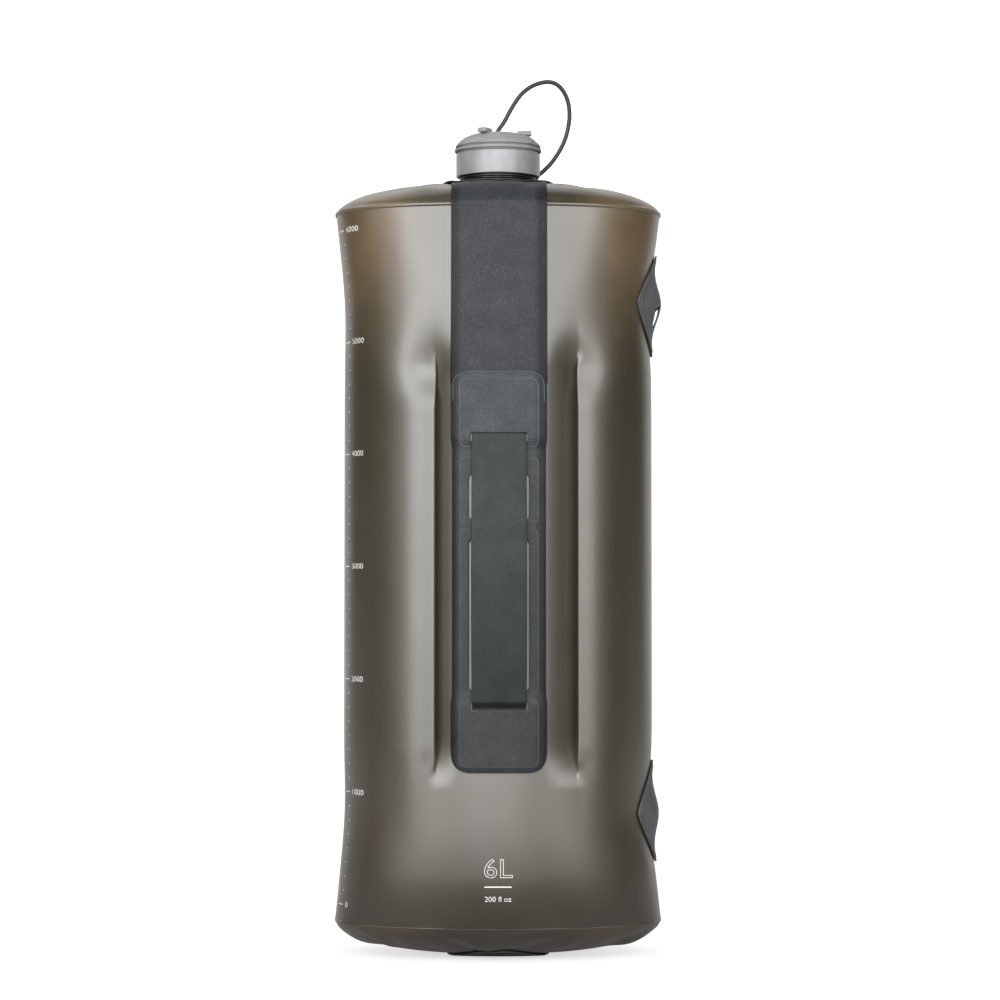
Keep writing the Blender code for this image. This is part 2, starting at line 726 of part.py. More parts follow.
def make_cap_dome():
    """A hollow cover with a rolled flange, a recess for the swivel and three grip lugs."""
    well_radius = SWIVEL_HEAD_RADIUS + GAP
    well_floor = CAP_TOP - SWIVEL_HEAD_WALL - GAP
    hole = SWIVEL_STEM_RADIUS + GAP
    under = well_floor - SWIVEL_FLOOR_WALL
    foot_inner = DOME_FOOT_RADIUS - DOME_FOOT_WALL
    outline = [(foot_inner, CAP_DOME_LOW), (DOME_FOOT_RADIUS, CAP_DOME_LOW)]
    outline.append((DOME_FOOT_RADIUS, CAP_DOME_LOW + DOME_FOOT_HEIGHT))
    outline += [
        (DOME_FLANGE_RADIUS * out, CAP_DOME_LOW + DOME_HEIGHT * up) for out, up in CAP_DOME_SHARES
    ]
    outline += [
        (well_radius, CAP_TOP),
        (well_radius, well_floor),
        (hole, well_floor),
        (hole, under),
        (well_radius, under),
    ]
    outline += [
        (DOME_FLANGE_RADIUS * out, CAP_DOME_LOW + DOME_HEIGHT * up) for out, up in CAP_HOLLOW_SHARES
    ]
    dome = turned("cap_dome", outline, CAP_SIDES)
    for number in range(LUG_COUNT):
        lug = rounded_block(
            "cap_lug_%d" % (number + 1),
            (LUG_LENGTH, LUG_WIDTH, LUG_HEIGHT),
            LUG_EDGE,
            2,
            (LUG_REACH, 0, CAP_TOP),
        )
        lug.rotation_euler.z = math.tau * number / LUG_COUNT
        boolean(dome, lug, "UNION")
    finish(dome, GREY_COLOUR, roughness=0.5)
    return dome


def make_cap_seal():
    low = NECK_TOP + GAP
    outline = (
        (SEAL_INNER_RADIUS, low),
        (SEAL_OUTER_RADIUS, low),
        (SEAL_OUTER_RADIUS, low + SEAL_WALL),
        (SEAL_INNER_RADIUS, low + SEAL_WALL),
    )
    seal = turned("cap_seal", outline, ROUND_SIDES)
    finish(seal, BLACK_COLOUR, roughness=0.7)
    return seal


# Tether


def make_swivel():
    head_low = CAP_TOP - SWIVEL_HEAD_WALL
    collar_high = head_low - GAP - SWIVEL_FLOOR_WALL - GAP
    outline = (
        (0, CAP_TOP),
        (SWIVEL_HEAD_RADIUS - CAP_EDGE, CAP_TOP),
        (SWIVEL_HEAD_RADIUS, CAP_TOP - CAP_EDGE),
        (SWIVEL_HEAD_RADIUS, head_low),
        (SWIVEL_STEM_RADIUS, head_low),
        (SWIVEL_STEM_RADIUS, collar_high),
        (SWIVEL_COLLAR_RADIUS, collar_high),
        (SWIVEL_COLLAR_RADIUS, collar_high - SWIVEL_COLLAR_WALL),
        (0, collar_high - SWIVEL_COLLAR_WALL),
    )
    swivel = turned("tether_swivel", outline, SWIVEL_SIDES)
    finish(swivel, BLACK_COLOUR, roughness=0.45)
    return swivel


def make_ring():
    """A loose ring round the neck over its collar, with an ear that carries the cord's lower end."""
    low = RING_LOW
    inner = NECK_RADIUS + GAP
    outline = (
        (inner, low),
        (inner + RING_WIDTH, low),
        (inner + RING_WIDTH, low + RING_WALL),
        (inner, low + RING_WALL),
    )
    ring = turned("tether_ring", outline, ROUND_SIDES)
    reach = math.hypot(RING_EAR_X, RING_EAR_Y)
    start = inner + RING_WIDTH / 2
    ear = rounded_block(
        "tether_ring_ear",
        (reach - start, RING_EAR_WIDTH, RING_WALL),
        RING_WALL / 4,
        1,
        ((reach + start) / 2, 0, low + RING_WALL / 2),
    )
    ear.rotation_euler.z = math.atan2(RING_EAR_Y, RING_EAR_X)
    shape = bmesh.new()
    bmesh.ops.create_cone(
        shape,
        cap_ends=True,
        segments=SWIVEL_SIDES,
        radius1=RING_BOSS_RADIUS,
        radius2=RING_BOSS_RADIUS,
        depth=RING_BOSS_HEIGHT,
    )
    bmesh.ops.translate(
        shape, verts=shape.verts, vec=(RING_EAR_X, RING_EAR_Y, BOSS_HIGH - RING_BOSS_HEIGHT / 2)
    )
    boolean(ring, ear, "UNION")
    boolean(ring, piece("tether_ring_boss", shape), "UNION")
    finish(ring, BLACK_COLOUR, roughness=0.5)


def smooth_route(points, steps):
    """Points spaced evenly along a smooth curve through the route's own points."""
    route = [Vector(point) for point in points]
    route = [route[0] * 2 - route[1]] + route + [route[-1] * 2 - route[-2]]
    dense = []
    for a, b, c, d in zip(route, route[1:], route[2:], route[3:], strict=False):
        for step in range(CORD_STEPS):
            t = step / CORD_STEPS
            bend = b * 2 + (c - a) * t
            bend += (a * 2 - b * 5 + c * 4 - d) * t**2 + (b * 3 - a - c * 3 + d) * t**3
            dense.append(bend / 2)
    dense.append(route[-2])
    lengths = [0.0]
    for here, there in zip(dense, dense[1:], strict=False):
        lengths.append(lengths[-1] + (there - here).length)
    even, at = [], 0
    for step in range(steps + 1):
        want = lengths[-1] * step / steps
        while at < len(lengths) - 2 and lengths[at + 1] < want:
            at += 1
        part = (want - lengths[at]) / (lengths[at + 1] - lengths[at])
        even.append(dense[at].lerp(dense[at + 1], part))
    return even


def make_cord():
    """The tether's cord stands up in a loop by its own stiffness, from the cap's swivel to the ring's boss.
    The route's heights are above the cap's top, and are stretched to end on the boss."""
    stretch = (BOSS_HIGH + CORD_END_GAP - CAP_TOP) / CORD_ROUTE[-1][2]
    route = [(x, y, CAP_TOP + height * stretch) for x, y, height in CORD_ROUTE]
    points = smooth_route(route, CORD_STEPS)
    curve = bpy.data.curves.new("tether_cord", "CURVE")
    curve.dimensions = "3D"
    curve.bevel_depth = CORD_DIAMETER / 2
    curve.bevel_resolution = 2
    curve.use_fill_caps = True
    spline = curve.splines.new("POLY")
    spline.points.add(len(points) - 1)
    for point, place in zip(spline.points, points, strict=True):
        point.co = (*place, 1)
    cord = bpy.data.objects.new("tether_cord", curve)
    bpy.context.scene.collection.objects.link(cord)
    finish(cord, FABRIC_COLOUR, roughness=0.6)


def main():
    clear_scene()
    make_wall("front_panel", FRONT)
    make_wall("back_panel", BACK)
    make_top_panel()
    make_bottom_panel()
    make_baffle("left_baffle", CREASE_LEFT)
    make_baffle("right_baffle", CREASE_RIGHT)
    make_neck()
    make_neck_patch()
    for word, side in (("front", FRONT), ("back", BACK)):
        make_strap(word + "_strap", side)
        make_plate(word + "_handle_panel", side)
        make_webbing(word + "_handle_webbing", side)
    make_lash_tab("lower_lash_tab", TAB_LOW)
    make_lash_tab("upper_lash_tab", TAB_HIGH)
    make_base_patch()
    swivel = make_swivel()
    for part in (make_cap_skirt(), make_cap_dome(), make_cap_seal()):
        part.parent = swivel
    make_ring()
    make_cord()


main()
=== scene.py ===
"""Collapsible six litre water carrier, full and standing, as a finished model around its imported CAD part."""

import math

import bmesh
import bpy
from mathutils import Matrix, Vector


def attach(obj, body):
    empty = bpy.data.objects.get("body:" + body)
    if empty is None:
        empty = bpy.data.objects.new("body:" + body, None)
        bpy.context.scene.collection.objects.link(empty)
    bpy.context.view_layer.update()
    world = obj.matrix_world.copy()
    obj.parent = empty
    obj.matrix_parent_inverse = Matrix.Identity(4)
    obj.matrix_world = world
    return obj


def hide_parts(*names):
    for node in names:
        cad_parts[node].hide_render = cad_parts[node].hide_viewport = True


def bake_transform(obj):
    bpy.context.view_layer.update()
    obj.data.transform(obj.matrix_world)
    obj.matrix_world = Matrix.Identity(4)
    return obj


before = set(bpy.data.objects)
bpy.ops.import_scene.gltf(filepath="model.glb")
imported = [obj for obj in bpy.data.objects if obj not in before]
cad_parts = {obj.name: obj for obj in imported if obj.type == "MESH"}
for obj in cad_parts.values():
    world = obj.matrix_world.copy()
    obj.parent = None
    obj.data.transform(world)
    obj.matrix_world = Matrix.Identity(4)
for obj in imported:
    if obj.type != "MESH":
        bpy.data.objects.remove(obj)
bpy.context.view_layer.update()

# The view. A long lens on a low stand looks square on to the front, a little upwards, so that the front
# seams bow and the top panel shows as a shallow dome.

lens = bpy.data.cameras.new("front_view")
lens.lens = 108
lens.sensor_width = 36
lens.clip_end = 40


def put_in_scene(name, data):
    thing = bpy.data.objects.new(name, data)
    bpy.context.scene.collection.objects.link(thing)
    return thing


camera = put_in_scene("front_view", lens)
camera.location = (0.0011, -1.68, 0.202)
camera.rotation_euler.x = math.radians(91.72)
bpy.context.scene.camera = camera

# Front and back film panels. Smoke-brown polyurethane film, half a millimetre thick and satin on both
# faces, cut as two equal walls and welded to each other down the sides. A full bag pushes them out to an
# oval, and the two baffles inside hold them in along four sharp creases.

FILM_WALL = 0.0005
BAG_WIDTH = 0.172
BAG_DEPTH = 0.118
SEAM_LOW = 0.0185
SEAM_HIGH = 0.4127
END_WIDENING = 0.0049
END_DRAW_IN = 0.005
END_REACH = 0.085
LOW_TURN = 0.0030
LOW_TURN_REACH = 0.030
BELLY = 0.0016
OVAL_POWER = 2.2
TAB_LOW = 0.0790
TAB_HIGH = 0.3610
TAB_DENT = 0.0028
LEFT_DENT = 0.0008
DENT_REACH = 0.025
CREASE_LOW = 0.1064
CREASE_HIGH = 0.3235
HIGH_RUN = 0.034
LOW_RUN = 0.028
SHOULDER = 0.0016
SOFT_SHOULDER = 0.0050
CREASES = ((-0.0337, 0.0125, 0.0058, 0.0044), (0.0429, 0.0185, 0.0074, 0.0034))
SWELLS = (0.0012, 0.0014)
SWELL_REACH = 0.034
FILM_COLOUR = (0.036, 0.029, 0.0130)
FILM_WARM_GLOW = (0.122, 0.082, 0.040)
SIDES = (("front", -1), ("back", 1))


def smooth_step(share):
    share = min(max(share, 0), 1)
    return share * share * (3 - 2 * share)


def end_share(z):
    """1 at an end seam, falling to 0 at END_REACH from it."""
    away = max(0, min(z - SEAM_LOW, SEAM_HIGH - z))
    return max(0, 1 - away / END_REACH) ** 2


def half_width(z, side=1):
    """Half the section's width. The lash tabs on the right draw the film in at their heights."""
    dent = TAB_DENT if side > 0 else LEFT_DENT
    drawn = sum(math.exp(-(((z - tab) / DENT_REACH) ** 2)) for tab in (TAB_LOW, TAB_HIGH))
    return BAG_WIDTH / 2 + END_WIDENING * end_share(z) - dent * drawn


def half_depth(z):
    """Half the section's depth. The walls turn under a little more over their last bit above the foot."""
    turn = max(0, 1 - max(0, z - SEAM_LOW) / LOW_TURN_REACH) ** 2
    belly = BELLY * math.exp(-(((z - 0.045) / 0.037) ** 2))
    return BAG_DEPTH / 2 - END_DRAW_IN * end_share(z) - LOW_TURN * turn + belly


def oval_share(share):
    """How far an oval section stands out at this share of its half axis."""
    return max(0, 1 - abs(share) ** OVAL_POWER) ** (1 / OVAL_POWER)


def crease_fold(x, z):
    """How far the baffles pull the film in. Towards the strap it slopes gently, and away from it the film
    turns a tight shoulder. Past each end of the weld the crease softens and runs out, above it in a long
    valley that reaches over the shoulder's corner."""
    above, below = z - CREASE_HIGH, CREASE_LOW - z
    from_end = max(above, below)
    soft = smooth_step((from_end + 0.004) / 0.014)
    if above > below:
        run = max(0, 1 - max(0, above + 0.0015) / HIGH_RUN) ** 2
        over_corner = smooth_step((above + 0.024) / 0.024) * math.exp(-((max(0, above) / 0.018) ** 1.5))
        shoulder = SHOULDER + (SOFT_SHOULDER - SHOULDER) * soft
    else:
        run = smooth_step(0.5 - (below + 0.002) / LOW_RUN)
        over_corner = 0
        shoulder = SHOULDER + 0.003 * soft
    fold = 0
    for crease, reach, depth, corner_dip in CREASES:
        inwards = (x - crease) * (1 if crease < 0 else -1)
        near = max(0, 1 - inwards / reach if inwards > 0 else 1 + inwards / shoulder)
        sharp = near**1.3 if inwards > 0 else 1 - (1 - near**3) ** (1 / 3)
        groove = depth * run * (sharp + (smooth_step(near) - sharp) * soft)
        spread = 0.0095 if inwards > 0 else 0.013
        dip = corner_dip * over_corner * math.exp(-((inwards / spread) ** 2))
        fold += (groove**3 + dip**3) ** (1 / 3)
    return fold


def lobe_swell(x, z):
    """The film beside a crease, on the side away from the strap, bulges a little past the oval."""
    run = smooth_step((z - 0.055) / 0.06) * smooth_step((CREASE_HIGH + 0.004 - z) / 0.03)
    creased = smooth_step(min(z - CREASE_LOW, CREASE_HIGH - z) / 0.012)
    swell = 0
    for (crease, *_), most in zip(CREASES, SWELLS, strict=True):
        outwards = (crease - x) * (1 if crease < 0 else -1)
        if 0 < outwards < SWELL_REACH:
            lift = math.sin(math.pi * (1 - (1 - outwards / SWELL_REACH) ** 1.35))
            swell = most * lift * (creased + (1 - creased) * lift)
    return swell * run


def waves(place, *terms):
    """A sum of sine waves, each given as its size, its rate and its shift."""
    return sum(size * math.sin(rate * place + shift) for size, rate, shift in terms)


def seam_pucker(x, z):
    """Small waves that the welds leave in the film next to the end seams."""
    top, low = max(0, SEAM_HIGH - z), max(0, z - SEAM_LOW)
    top_wave = waves(x, (0.00022, 230, 1.3), (0.000154, 131, -0.4)) * math.exp(-top / 0.016)
    low_wave = waves(x, (0.00025, 190, -0.7), (0.0002, 97, 2.0)) * math.exp(-low / 0.012)
    return top_wave * (1 - math.exp(-top / 0.004)) + low_wave * (1 - math.exp(-low / 0.004))


def wall_depth(x, z):
    """Distance of the film's outer face from the plane between the two walls."""
    oval = half_depth(z) * oval_share(x / half_width(z, x))
    steady = min(1, oval / 0.03)
    return oval - crease_fold(x, z) + lobe_swell(x, z) + seam_pucker(x, z) * steady


def wall_point(x, z, side, height=0.0):
    """A point of the front (-1) or the back (1) wall, or one raised from it square to the film."""
    here = Vector((x, side * wall_depth(x, z), z))
    if not height:
        return here
    step = 0.0005
    across = side * (wall_depth(x + step, z) - wall_depth(x - step, z))
    up = side * (wall_depth(x, z + step) - wall_depth(x, z - step))
    outward = Vector((-across, step + step, -up)).normalized() * side
    return here + outward * height


def laid_grid(columns, rows, place, middle=(0, 0, 0.215)):
    """A grid laid over a surface by place(column, row), facing away from the bag's middle."""
    shape = bmesh.new()
    across, along = len(columns) - 1, len(rows) - 1
    bmesh.ops.create_grid(shape, x_segments=across, y_segments=along, size=1)
    for vert in shape.verts:
        column = columns[round((vert.co.x + 1) / 2 * across)]
        row = rows[round((vert.co.y + 1) / 2 * along)]
        vert.co = place(column, row)
    bmesh.ops.remove_doubles(shape, verts=shape.verts, dist=0.000002)
    shape.normal_update()
    middle = Vector(middle)
    if sum(face.normal.dot(face.calc_center_median() - middle) for face in shape.faces) < 0:
        bmesh.ops.reverse_faces(shape, faces=shape.faces)
        shape.normal_update()
    return shape


def stand_off(shape, lift):
    """Raises each point of a laid grid along its own normal by lift(point)."""
    moves = [(vert, vert.normal * lift(vert.co)) for vert in shape.verts]
    for vert, move in moves:
        vert.co += move


def as_mesh(name, shape):
    mesh = bpy.data.meshes.new(name)
    shape.to_mesh(mesh)
    shape.free()
    return mesh


def finished(name, shape, body, node, material, sharp_deg=40):
    """Turns a bmesh into a piece. It rides on this body, where one is named, and stands for this CAD node."""
    mesh = as_mesh(name, shape)
    mesh.shade_smooth()
    mesh.set_sharp_from_angle(angle=math.radians(sharp_deg))
    mesh.materials.append(material)
    thing = put_in_scene(name, mesh)
    if body:
        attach(thing, body)
    if node:
        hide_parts(node)
    return thing


def give_wall(thing, wall, outwards=False, edge=0.0):
    """Gives a laid sheet its thickness, and rounds its cut edges."""
    solid = thing.modifiers.new("wall", "SOLIDIFY")
    solid.thickness = wall
    solid.offset = 1 if outwards else -1
    solid.use_even_offset = True
    if edge:
        cut = thing.modifiers.new("cut_edge", "BEVEL")
        cut.width = edge
        cut.segments = 2
        cut.limit_method = "ANGLE"
        cut.angle_limit = math.radians(50)


def feed(node, *values, **named):
    """Gives a node's inputs, in order or by name, these values, or joins them to these sockets."""
    pairs = list(zip(node.inputs, values, strict=False))
    pairs += [(node.inputs[word.replace("_", " ")], value) for word, value in named.items()]
    for socket, value in pairs:
        if isinstance(value, bpy.types.NodeSocket):
            node.id_data.links.new(value, socket)
        else:
            socket.default_value = value


def add_node(tree, kind, *values, out=0, **named):
    """Adds a node and feeds it. Names that aren't its sockets' are its own settings. Gives back one of its
    outputs, or all of them where out is None."""
    node = tree.nodes.new("ShaderNode" + kind)
    for word in [word for word in named if hasattr(node, word)]:
        setattr(node, word, named.pop(word))
    feed(node, *values, **named)
    return node.outputs if out is None else node.outputs[out]


def ramp(tree, value, start, end, low=0.0, high=1.0, kind="LINEAR"):
    """Maps a value from start and end to low and high, and holds it there beyond them."""
    return add_node(tree, "MapRange", value, start, end, low, high, interpolation_type=kind)


def reckon(tree, operation, first, second=0.0, clamped=False):
    return add_node(tree, "Math", first, second, operation=operation, use_clamp=clamped)


def scaled(tree, colour, share):
    return add_node(tree, "VectorMath", colour, operation="SCALE", Scale=share)


def mixed(tree, share, colour, other):
    """A mix of two colours."""
    mix = tree.nodes.new("ShaderNodeMix")
    mix.data_type = "RGBA"
    for number, value in ((0, share), (6, colour), (7, other)):
        tree.links.new(value, mix.inputs[number])
    return mix.outputs[2]


def new_group(name, *inputs):
    """A node group for the look of a surface, which puts out its colour, roughness and normal."""
    group = bpy.data.node_groups.new(name, "ShaderNodeTree")
    for in_out, words in (("INPUT", inputs), ("OUTPUT", ("Colour", "Roughness", "Normal"))):
        for word in words:
            kind = "Color" if "Colour" in word else "Vector" if word == "Normal" else "Float"
            group.interface.new_socket(word, in_out=in_out, socket_type="NodeSocket" + kind)
    return group, group.nodes.new("NodeGroupInput").outputs, group.nodes.new("NodeGroupOutput")


def new_material(name, colour, roughness):
    material = bpy.data.materials.new(name)
    material.use_nodes = True
    material.diffuse_color = (*colour, 1)
    shader = material.node_tree.nodes["Principled BSDF"]
    feed(shader, Base_Color=(*colour, 1), Roughness=roughness)
    return material, shader


def take_look(shader, group, **values):
    """Gives the shader its colour, roughness and normal from a node group, which varies the shader's own."""
    own = {"Colour": shader.inputs["Base Color"].default_value, "Roughness": shader.inputs["Roughness"].default_value}
    look = add_node(shader.id_data, "Group", node_tree=group, out=None, **own, **values)
    feed(shader, Base_Color=look["Colour"], Roughness=look["Roughness"], Normal=look["Normal"])


# The look of blown film: a faint clouding of its colour, a lighter warm tint mixed in by the warmth share, which is a
# painted glow of light shining through the film, a darkening by the depth share, which is painted shade, and a
# fine orange-peel surface.
tree, given, result = new_group("film_clouding", "Colour", "Warm Colour", "Warmth", "Depth", "Roughness")
spot = add_node(tree, "TexCoord", out="Object")
cloud = add_node(tree, "TexNoise", spot, Scale=34.0, Detail=3.0, Roughness=0.55)
peel = add_node(tree, "TexNoise", spot, Scale=1300.0, Detail=2.0)
warm_glow_place = reckon(tree, "MULTIPLY", ramp(tree, cloud, 0.3, 0.7, 0.75, 1.2), given["Warmth"], True)
tint = mixed(tree, warm_glow_place, given["Colour"], given["Warm Colour"])
feed(
    result,
    Colour=scaled(tree, tint, given["Depth"]),
    Roughness=reckon(tree, "ADD", ramp(tree, cloud, 0.3, 0.7, -0.02, 0.03), given["Roughness"]),
    Normal=add_node(tree, "Bump", Strength=0.12, Distance=0.00006, Height=peel),
)
film_group = tree


def film_material(name, glow_from):
    """Satin film. Near its top seam away from the strap, and less so low down, a lighter warm tint is mixed in: a
    painted glow of light shining through the film. Low down its colour is darkened: painted shade."""
    material, shader = new_material(name, FILM_COLOUR, 0.36)
    feed(shader, IOR=1.6, Specular_IOR_Level=1.0, Coat_Weight=0.3, Coat_Roughness=0.28)
    tree = material.node_tree
    parts = add_node(tree, "SeparateXYZ", add_node(tree, "TexCoord", out="Object"), out=None)
    # Painted glow: where the lighter warm tint of light through the film is mixed in.
    high = ramp(tree, parts["Z"], glow_from, 0.405, kind="SMOOTHSTEP")
    aside = ramp(tree, reckon(tree, "ABSOLUTE", parts["X"]), 0.035, 0.066, kind="SMOOTHSTEP")
    low = ramp(tree, parts["Z"], 0.13, 0.03, 0.0, 0.28, "SMOOTHSTEP")
    painted_warm_glow = reckon(tree, "ADD", reckon(tree, "MULTIPLY", high, aside), low, True)
    # Painted shade: the depth share scales the film's colour from 0.36 at the foot up to 1 above 0.10 m.
    depth = ramp(tree, parts["Z"], 0.018, 0.10, 0.36, 1.0, "SMOOTHSTEP")
    take_look(shader, film_group, Warm_Colour=(*FILM_WARM_GLOW, 1), Warmth=painted_warm_glow, Depth=depth)
    return material


def spread_out(low, high, step):
    """Evenly spaced values from low up to, but not with, high."""
    count = max(1, round((high - low) / step))
    return [low + (high - low) * index / count for index in range(count)]


def wall_columns():
    """Places across the wall as X at mid height: close together round the sides and over the creases."""
    half = BAG_WIDTH / 2
    sides = [half * math.cos(math.radians(2.1 * step)) ** (2 / OVAL_POWER) for step in range(22)]
    columns = sides + [-x for x in sides] + spread_out(-sides[-1] + 0.0016, sides[-1], 0.0017)
    for crease, *_ in CREASES:
        outwards = math.copysign(1, crease)
        columns = [x for x in columns if not -0.0035 < (x - crease) * outwards < SHOULDER + 0.001]
        columns += [crease + outwards * 0.00022 * step for step in range(9)]
        columns += [crease - outwards * 0.0006 * step for step in range(1, 6)]
    return sorted(columns)


def wall_rows():
    """Heights across the wall, closest at the seams and over the creases' ends."""
    creased = (CREASE_LOW - 0.016, CREASE_LOW + 0.012, CREASE_HIGH - 0.028, CREASE_HIGH + 0.014)
    marks = (SEAM_LOW, SEAM_LOW + 0.012, *creased, SEAM_HIGH - 0.012, SEAM_HIGH)
    steps = (0.001, 0.0024, 0.001, 0.003, 0.0012, 0.0024, 0.001)
    rows = [z for low, high, step in zip(marks, marks[1:], steps, strict=False) for z in spread_out(low, high, step)]
    return rows + [SEAM_HIGH]


for side_word, side in SIDES:

    def wall_place(x, z):
        return wall_point(x / (BAG_WIDTH / 2) * half_width(z, x), z, side)

    name = side_word + "_film"
    wall_shape = laid_grid(wall_columns(), wall_rows(), wall_place)
    wall = finished(name, wall_shape, "bag", side_word + "_panel", film_material(name, 0.31), 60)
    give_wall(wall, FILM_WALL)

# Top and bottom film panels. Oval ends of the same film, welded to the walls with a narrow lapped seam.
# Full of water, the top one rises to the neck in a dome and the bottom one turns under to a flat foot.

DOME_RISE = 0.0130
DOME_TOP = SEAM_HIGH + 0.0003 + DOME_RISE
DOME_FLAT_RADIUS = 0.031
NECK_RADIUS = 0.019
SEAM_LIP = 0.0005
FOOT_LIP = 0.00012
FOOT_TOP = 0.0015
FOOT_FLAT = 0.27


def rim_point(turn, z, grow=0.0):
    """The outline of an end seam at this angle, as X and Y."""
    power = 2 / OVAL_POWER
    across = math.copysign(abs(math.cos(turn)) ** power, math.cos(turn))
    along = math.copysign(abs(math.sin(turn)) ** power, math.sin(turn))
    return Vector(((half_width(z) + grow) * across, (half_depth(z) + grow) * along))


def seam_share(x, y, z):
    """Place between the axis, 0, and the end seam at this height, 1."""
    wide = abs(x / half_width(z)) ** OVAL_POWER
    deep = abs(y / half_depth(z)) ** OVAL_POWER
    return (wide + deep) ** (1 / OVAL_POWER)


def rim_share(x, y):
    """Place between the flat round the neck, 0, and the top seam, 1."""
    reach = math.hypot(x, y)
    rim = reach / max(seam_share(x, y, SEAM_HIGH), 0.000001)
    return min(max(reach - DOME_FLAT_RADIUS, 0) / (rim - DOME_FLAT_RADIUS), 1)


def dome_wave(x, y, share):
    """Shallow radial waves where the flat film was bent into a dome."""
    wave = waves(math.atan2(y, x), (1, 7, 0.6), (0.8, 12, -1.1), (0.5, 19, 2.3))
    return 0.00034 * wave * math.sin(math.pi * min(1, share * 1.02)) ** 1.5


def dome_height(x, y):
    share = rim_share(x, y)
    return DOME_TOP - DOME_RISE * (1 - (1 - share**3.3) ** 0.75) + dome_wave(x, y, share)


def foot_wave(turn, out):
    """Waves in the outer half of the foot, where the film gathers round it."""
    wave = waves(turn, (1, 9, 0.4), (0.9, 14, 1.9), (0.6, 23, -0.8))
    return 0.0009 * wave * math.sin(math.pi * min(1, max(0, out - 0.58) / 0.42)) ** 1.3


def foot_height(share, turn=0.0):
    """The bottom panel's outer face at this share of the way from its middle to its rim."""
    out = max(0, share - FOOT_FLAT) / (1 - FOOT_FLAT)
    rise = (SEAM_LOW - 0.0003 - FOOT_TOP) * (1 - (1 - out**2) ** 0.6)
    return FOOT_TOP + rise + max(foot_wave(turn, out), -0.5 * rise)


end_turns = [math.tau * step / 200 for step in range(201)]
end_rings = [(step / 34) ** 0.7 for step in range(35)]


def dome_place(turn, share):
    """Across the dome, then over the lip and down it."""
    neck = Vector((math.cos(turn), math.sin(turn))) * (NECK_RADIUS + 0.0002)
    flat = neck.lerp(rim_point(turn, SEAM_HIGH), min(share, 1))
    height = dome_height(flat.x, flat.y)
    if share > 1:
        flat = rim_point(turn, SEAM_HIGH, SEAM_LIP)
        height -= {1.004: 0.0002, 1.007: 0.0006, 1.010: 0.0017}[share]
    return Vector((flat.x, flat.y, height))


def foot_place(turn, share):
    flat = rim_point(turn, SEAM_LOW) * min(share, 1)
    height = foot_height(min(share, 1), turn)
    if share > 1:
        flat = rim_point(turn, SEAM_LOW, FOOT_LIP if share < 1.005 else 0.00006)
        height += 0.0003 if share < 1.005 else 0.0016
    return Vector((flat.x, flat.y, height))


top_shape = laid_grid(end_turns, [*end_rings, 1.004, 1.007, 1.010], dome_place)
foot_shape = laid_grid(end_turns, [*end_rings, 1.004, 1.010], foot_place)
for name, end_shape, node, glow_from in (
    ("top_film", top_shape, "top_panel", 0.40),
    ("foot_film", foot_shape, "bottom_panel", 0.60),
):
    end_film = finished(name, end_shape, "bag", node, film_material(name, glow_from), 60)
    give_wall(end_film, FILM_WALL)

# Two baffles. Plain film sheets between the front and the back wall, each with its edges folded over and
# welded along a crease. They keep the full bag oval and show only through the film.

BAFFLE_HEM = 0.004
for baffle_word, (crease, *_) in zip(("left", "right"), CREASES, strict=True):
    outwards = math.copysign(1, crease)

    def baffle_place(column, z):
        side, hem = column
        x = crease + outwards * BAFFLE_HEM * hem
        inner = min(wall_depth(x, z), wall_depth(crease, z) + 0.0012 * hem) - 0.0014
        return Vector((x, side * inner, z))

    hems = [(-1, 1), (-1, 0.5)] + [(step / 6 - 1, 0) for step in range(13)] + [(1, 0.5), (1, 1)]
    baffle_rows = spread_out(CREASE_LOW + 0.001, CREASE_HIGH - 0.001, 0.004) + [CREASE_HIGH - 0.001]
    name = baffle_word + "_baffle"
    baffle_shape = laid_grid(hems, baffle_rows, baffle_place, (crease - outwards, 0, 0.215))
    baffle = finished(name + "_film", baffle_shape, "bag", name, film_material(name, 0.60), 60)
    give_wall(baffle, FILM_WALL)

# Printed marks. White ink on the film: the litre scale down the left side, numbered every thousand
# millilitres with eight steps between, and the capacity low on the front.

INK_LIFT = 0.00007
INK_WALL = 0.00003
SCALE_ZERO = 0.0288
SCALE_LITRE = 0.0621
SCALE_STEPS = 8
TICK_START = 0.0134
TICK_END = 0.0210
DOT_PLACE = 0.0204
DIGIT_START = 0.0243
DIGIT_PITCH = 0.00302
DIGIT_HEIGHT = 0.0032

power = 2 / OVAL_POWER
quarter = [math.radians(step / 2) for step in range(181)]
quarter = [(max(0, math.cos(turn)) ** power, math.sin(turn) ** power) for turn in quarter]
quarter = [(BAG_WIDTH / 2 * x, BAG_DEPTH / 2 * y) for x, y in quarter]
girth = [(0.0, 1.0)]
for here, there in zip(quarter, quarter[1:], strict=False):
    girth.append((girth[-1][0] + math.dist(here, there), there[0] / (BAG_WIDTH / 2)))


def left_of_front(along, z):
    """X on the wall at this distance along the film from the left side seam."""
    for (near, share), (far, next_share) in zip(girth, girth[1:], strict=False):
        if along <= far:
            part = (along - near) / (far - near)
            return -half_width(z, -1) * (share + (next_share - share) * part)
    return 0.0


def cut_across(shape, step, normal):
    """Cuts a flat plan by parallel planes, so that it can follow the film."""
    places = [vert.co.dot(Vector(normal)) for vert in shape.verts]
    at = math.ceil(min(places) / step) * step
    while at < max(places):
        geom = list(shape.verts) + list(shape.edges) + list(shape.faces)
        bmesh.ops.bisect_plane(shape, geom=geom, plane_co=Vector(normal) * at, plane_no=normal, dist=0.000005)
        at += step


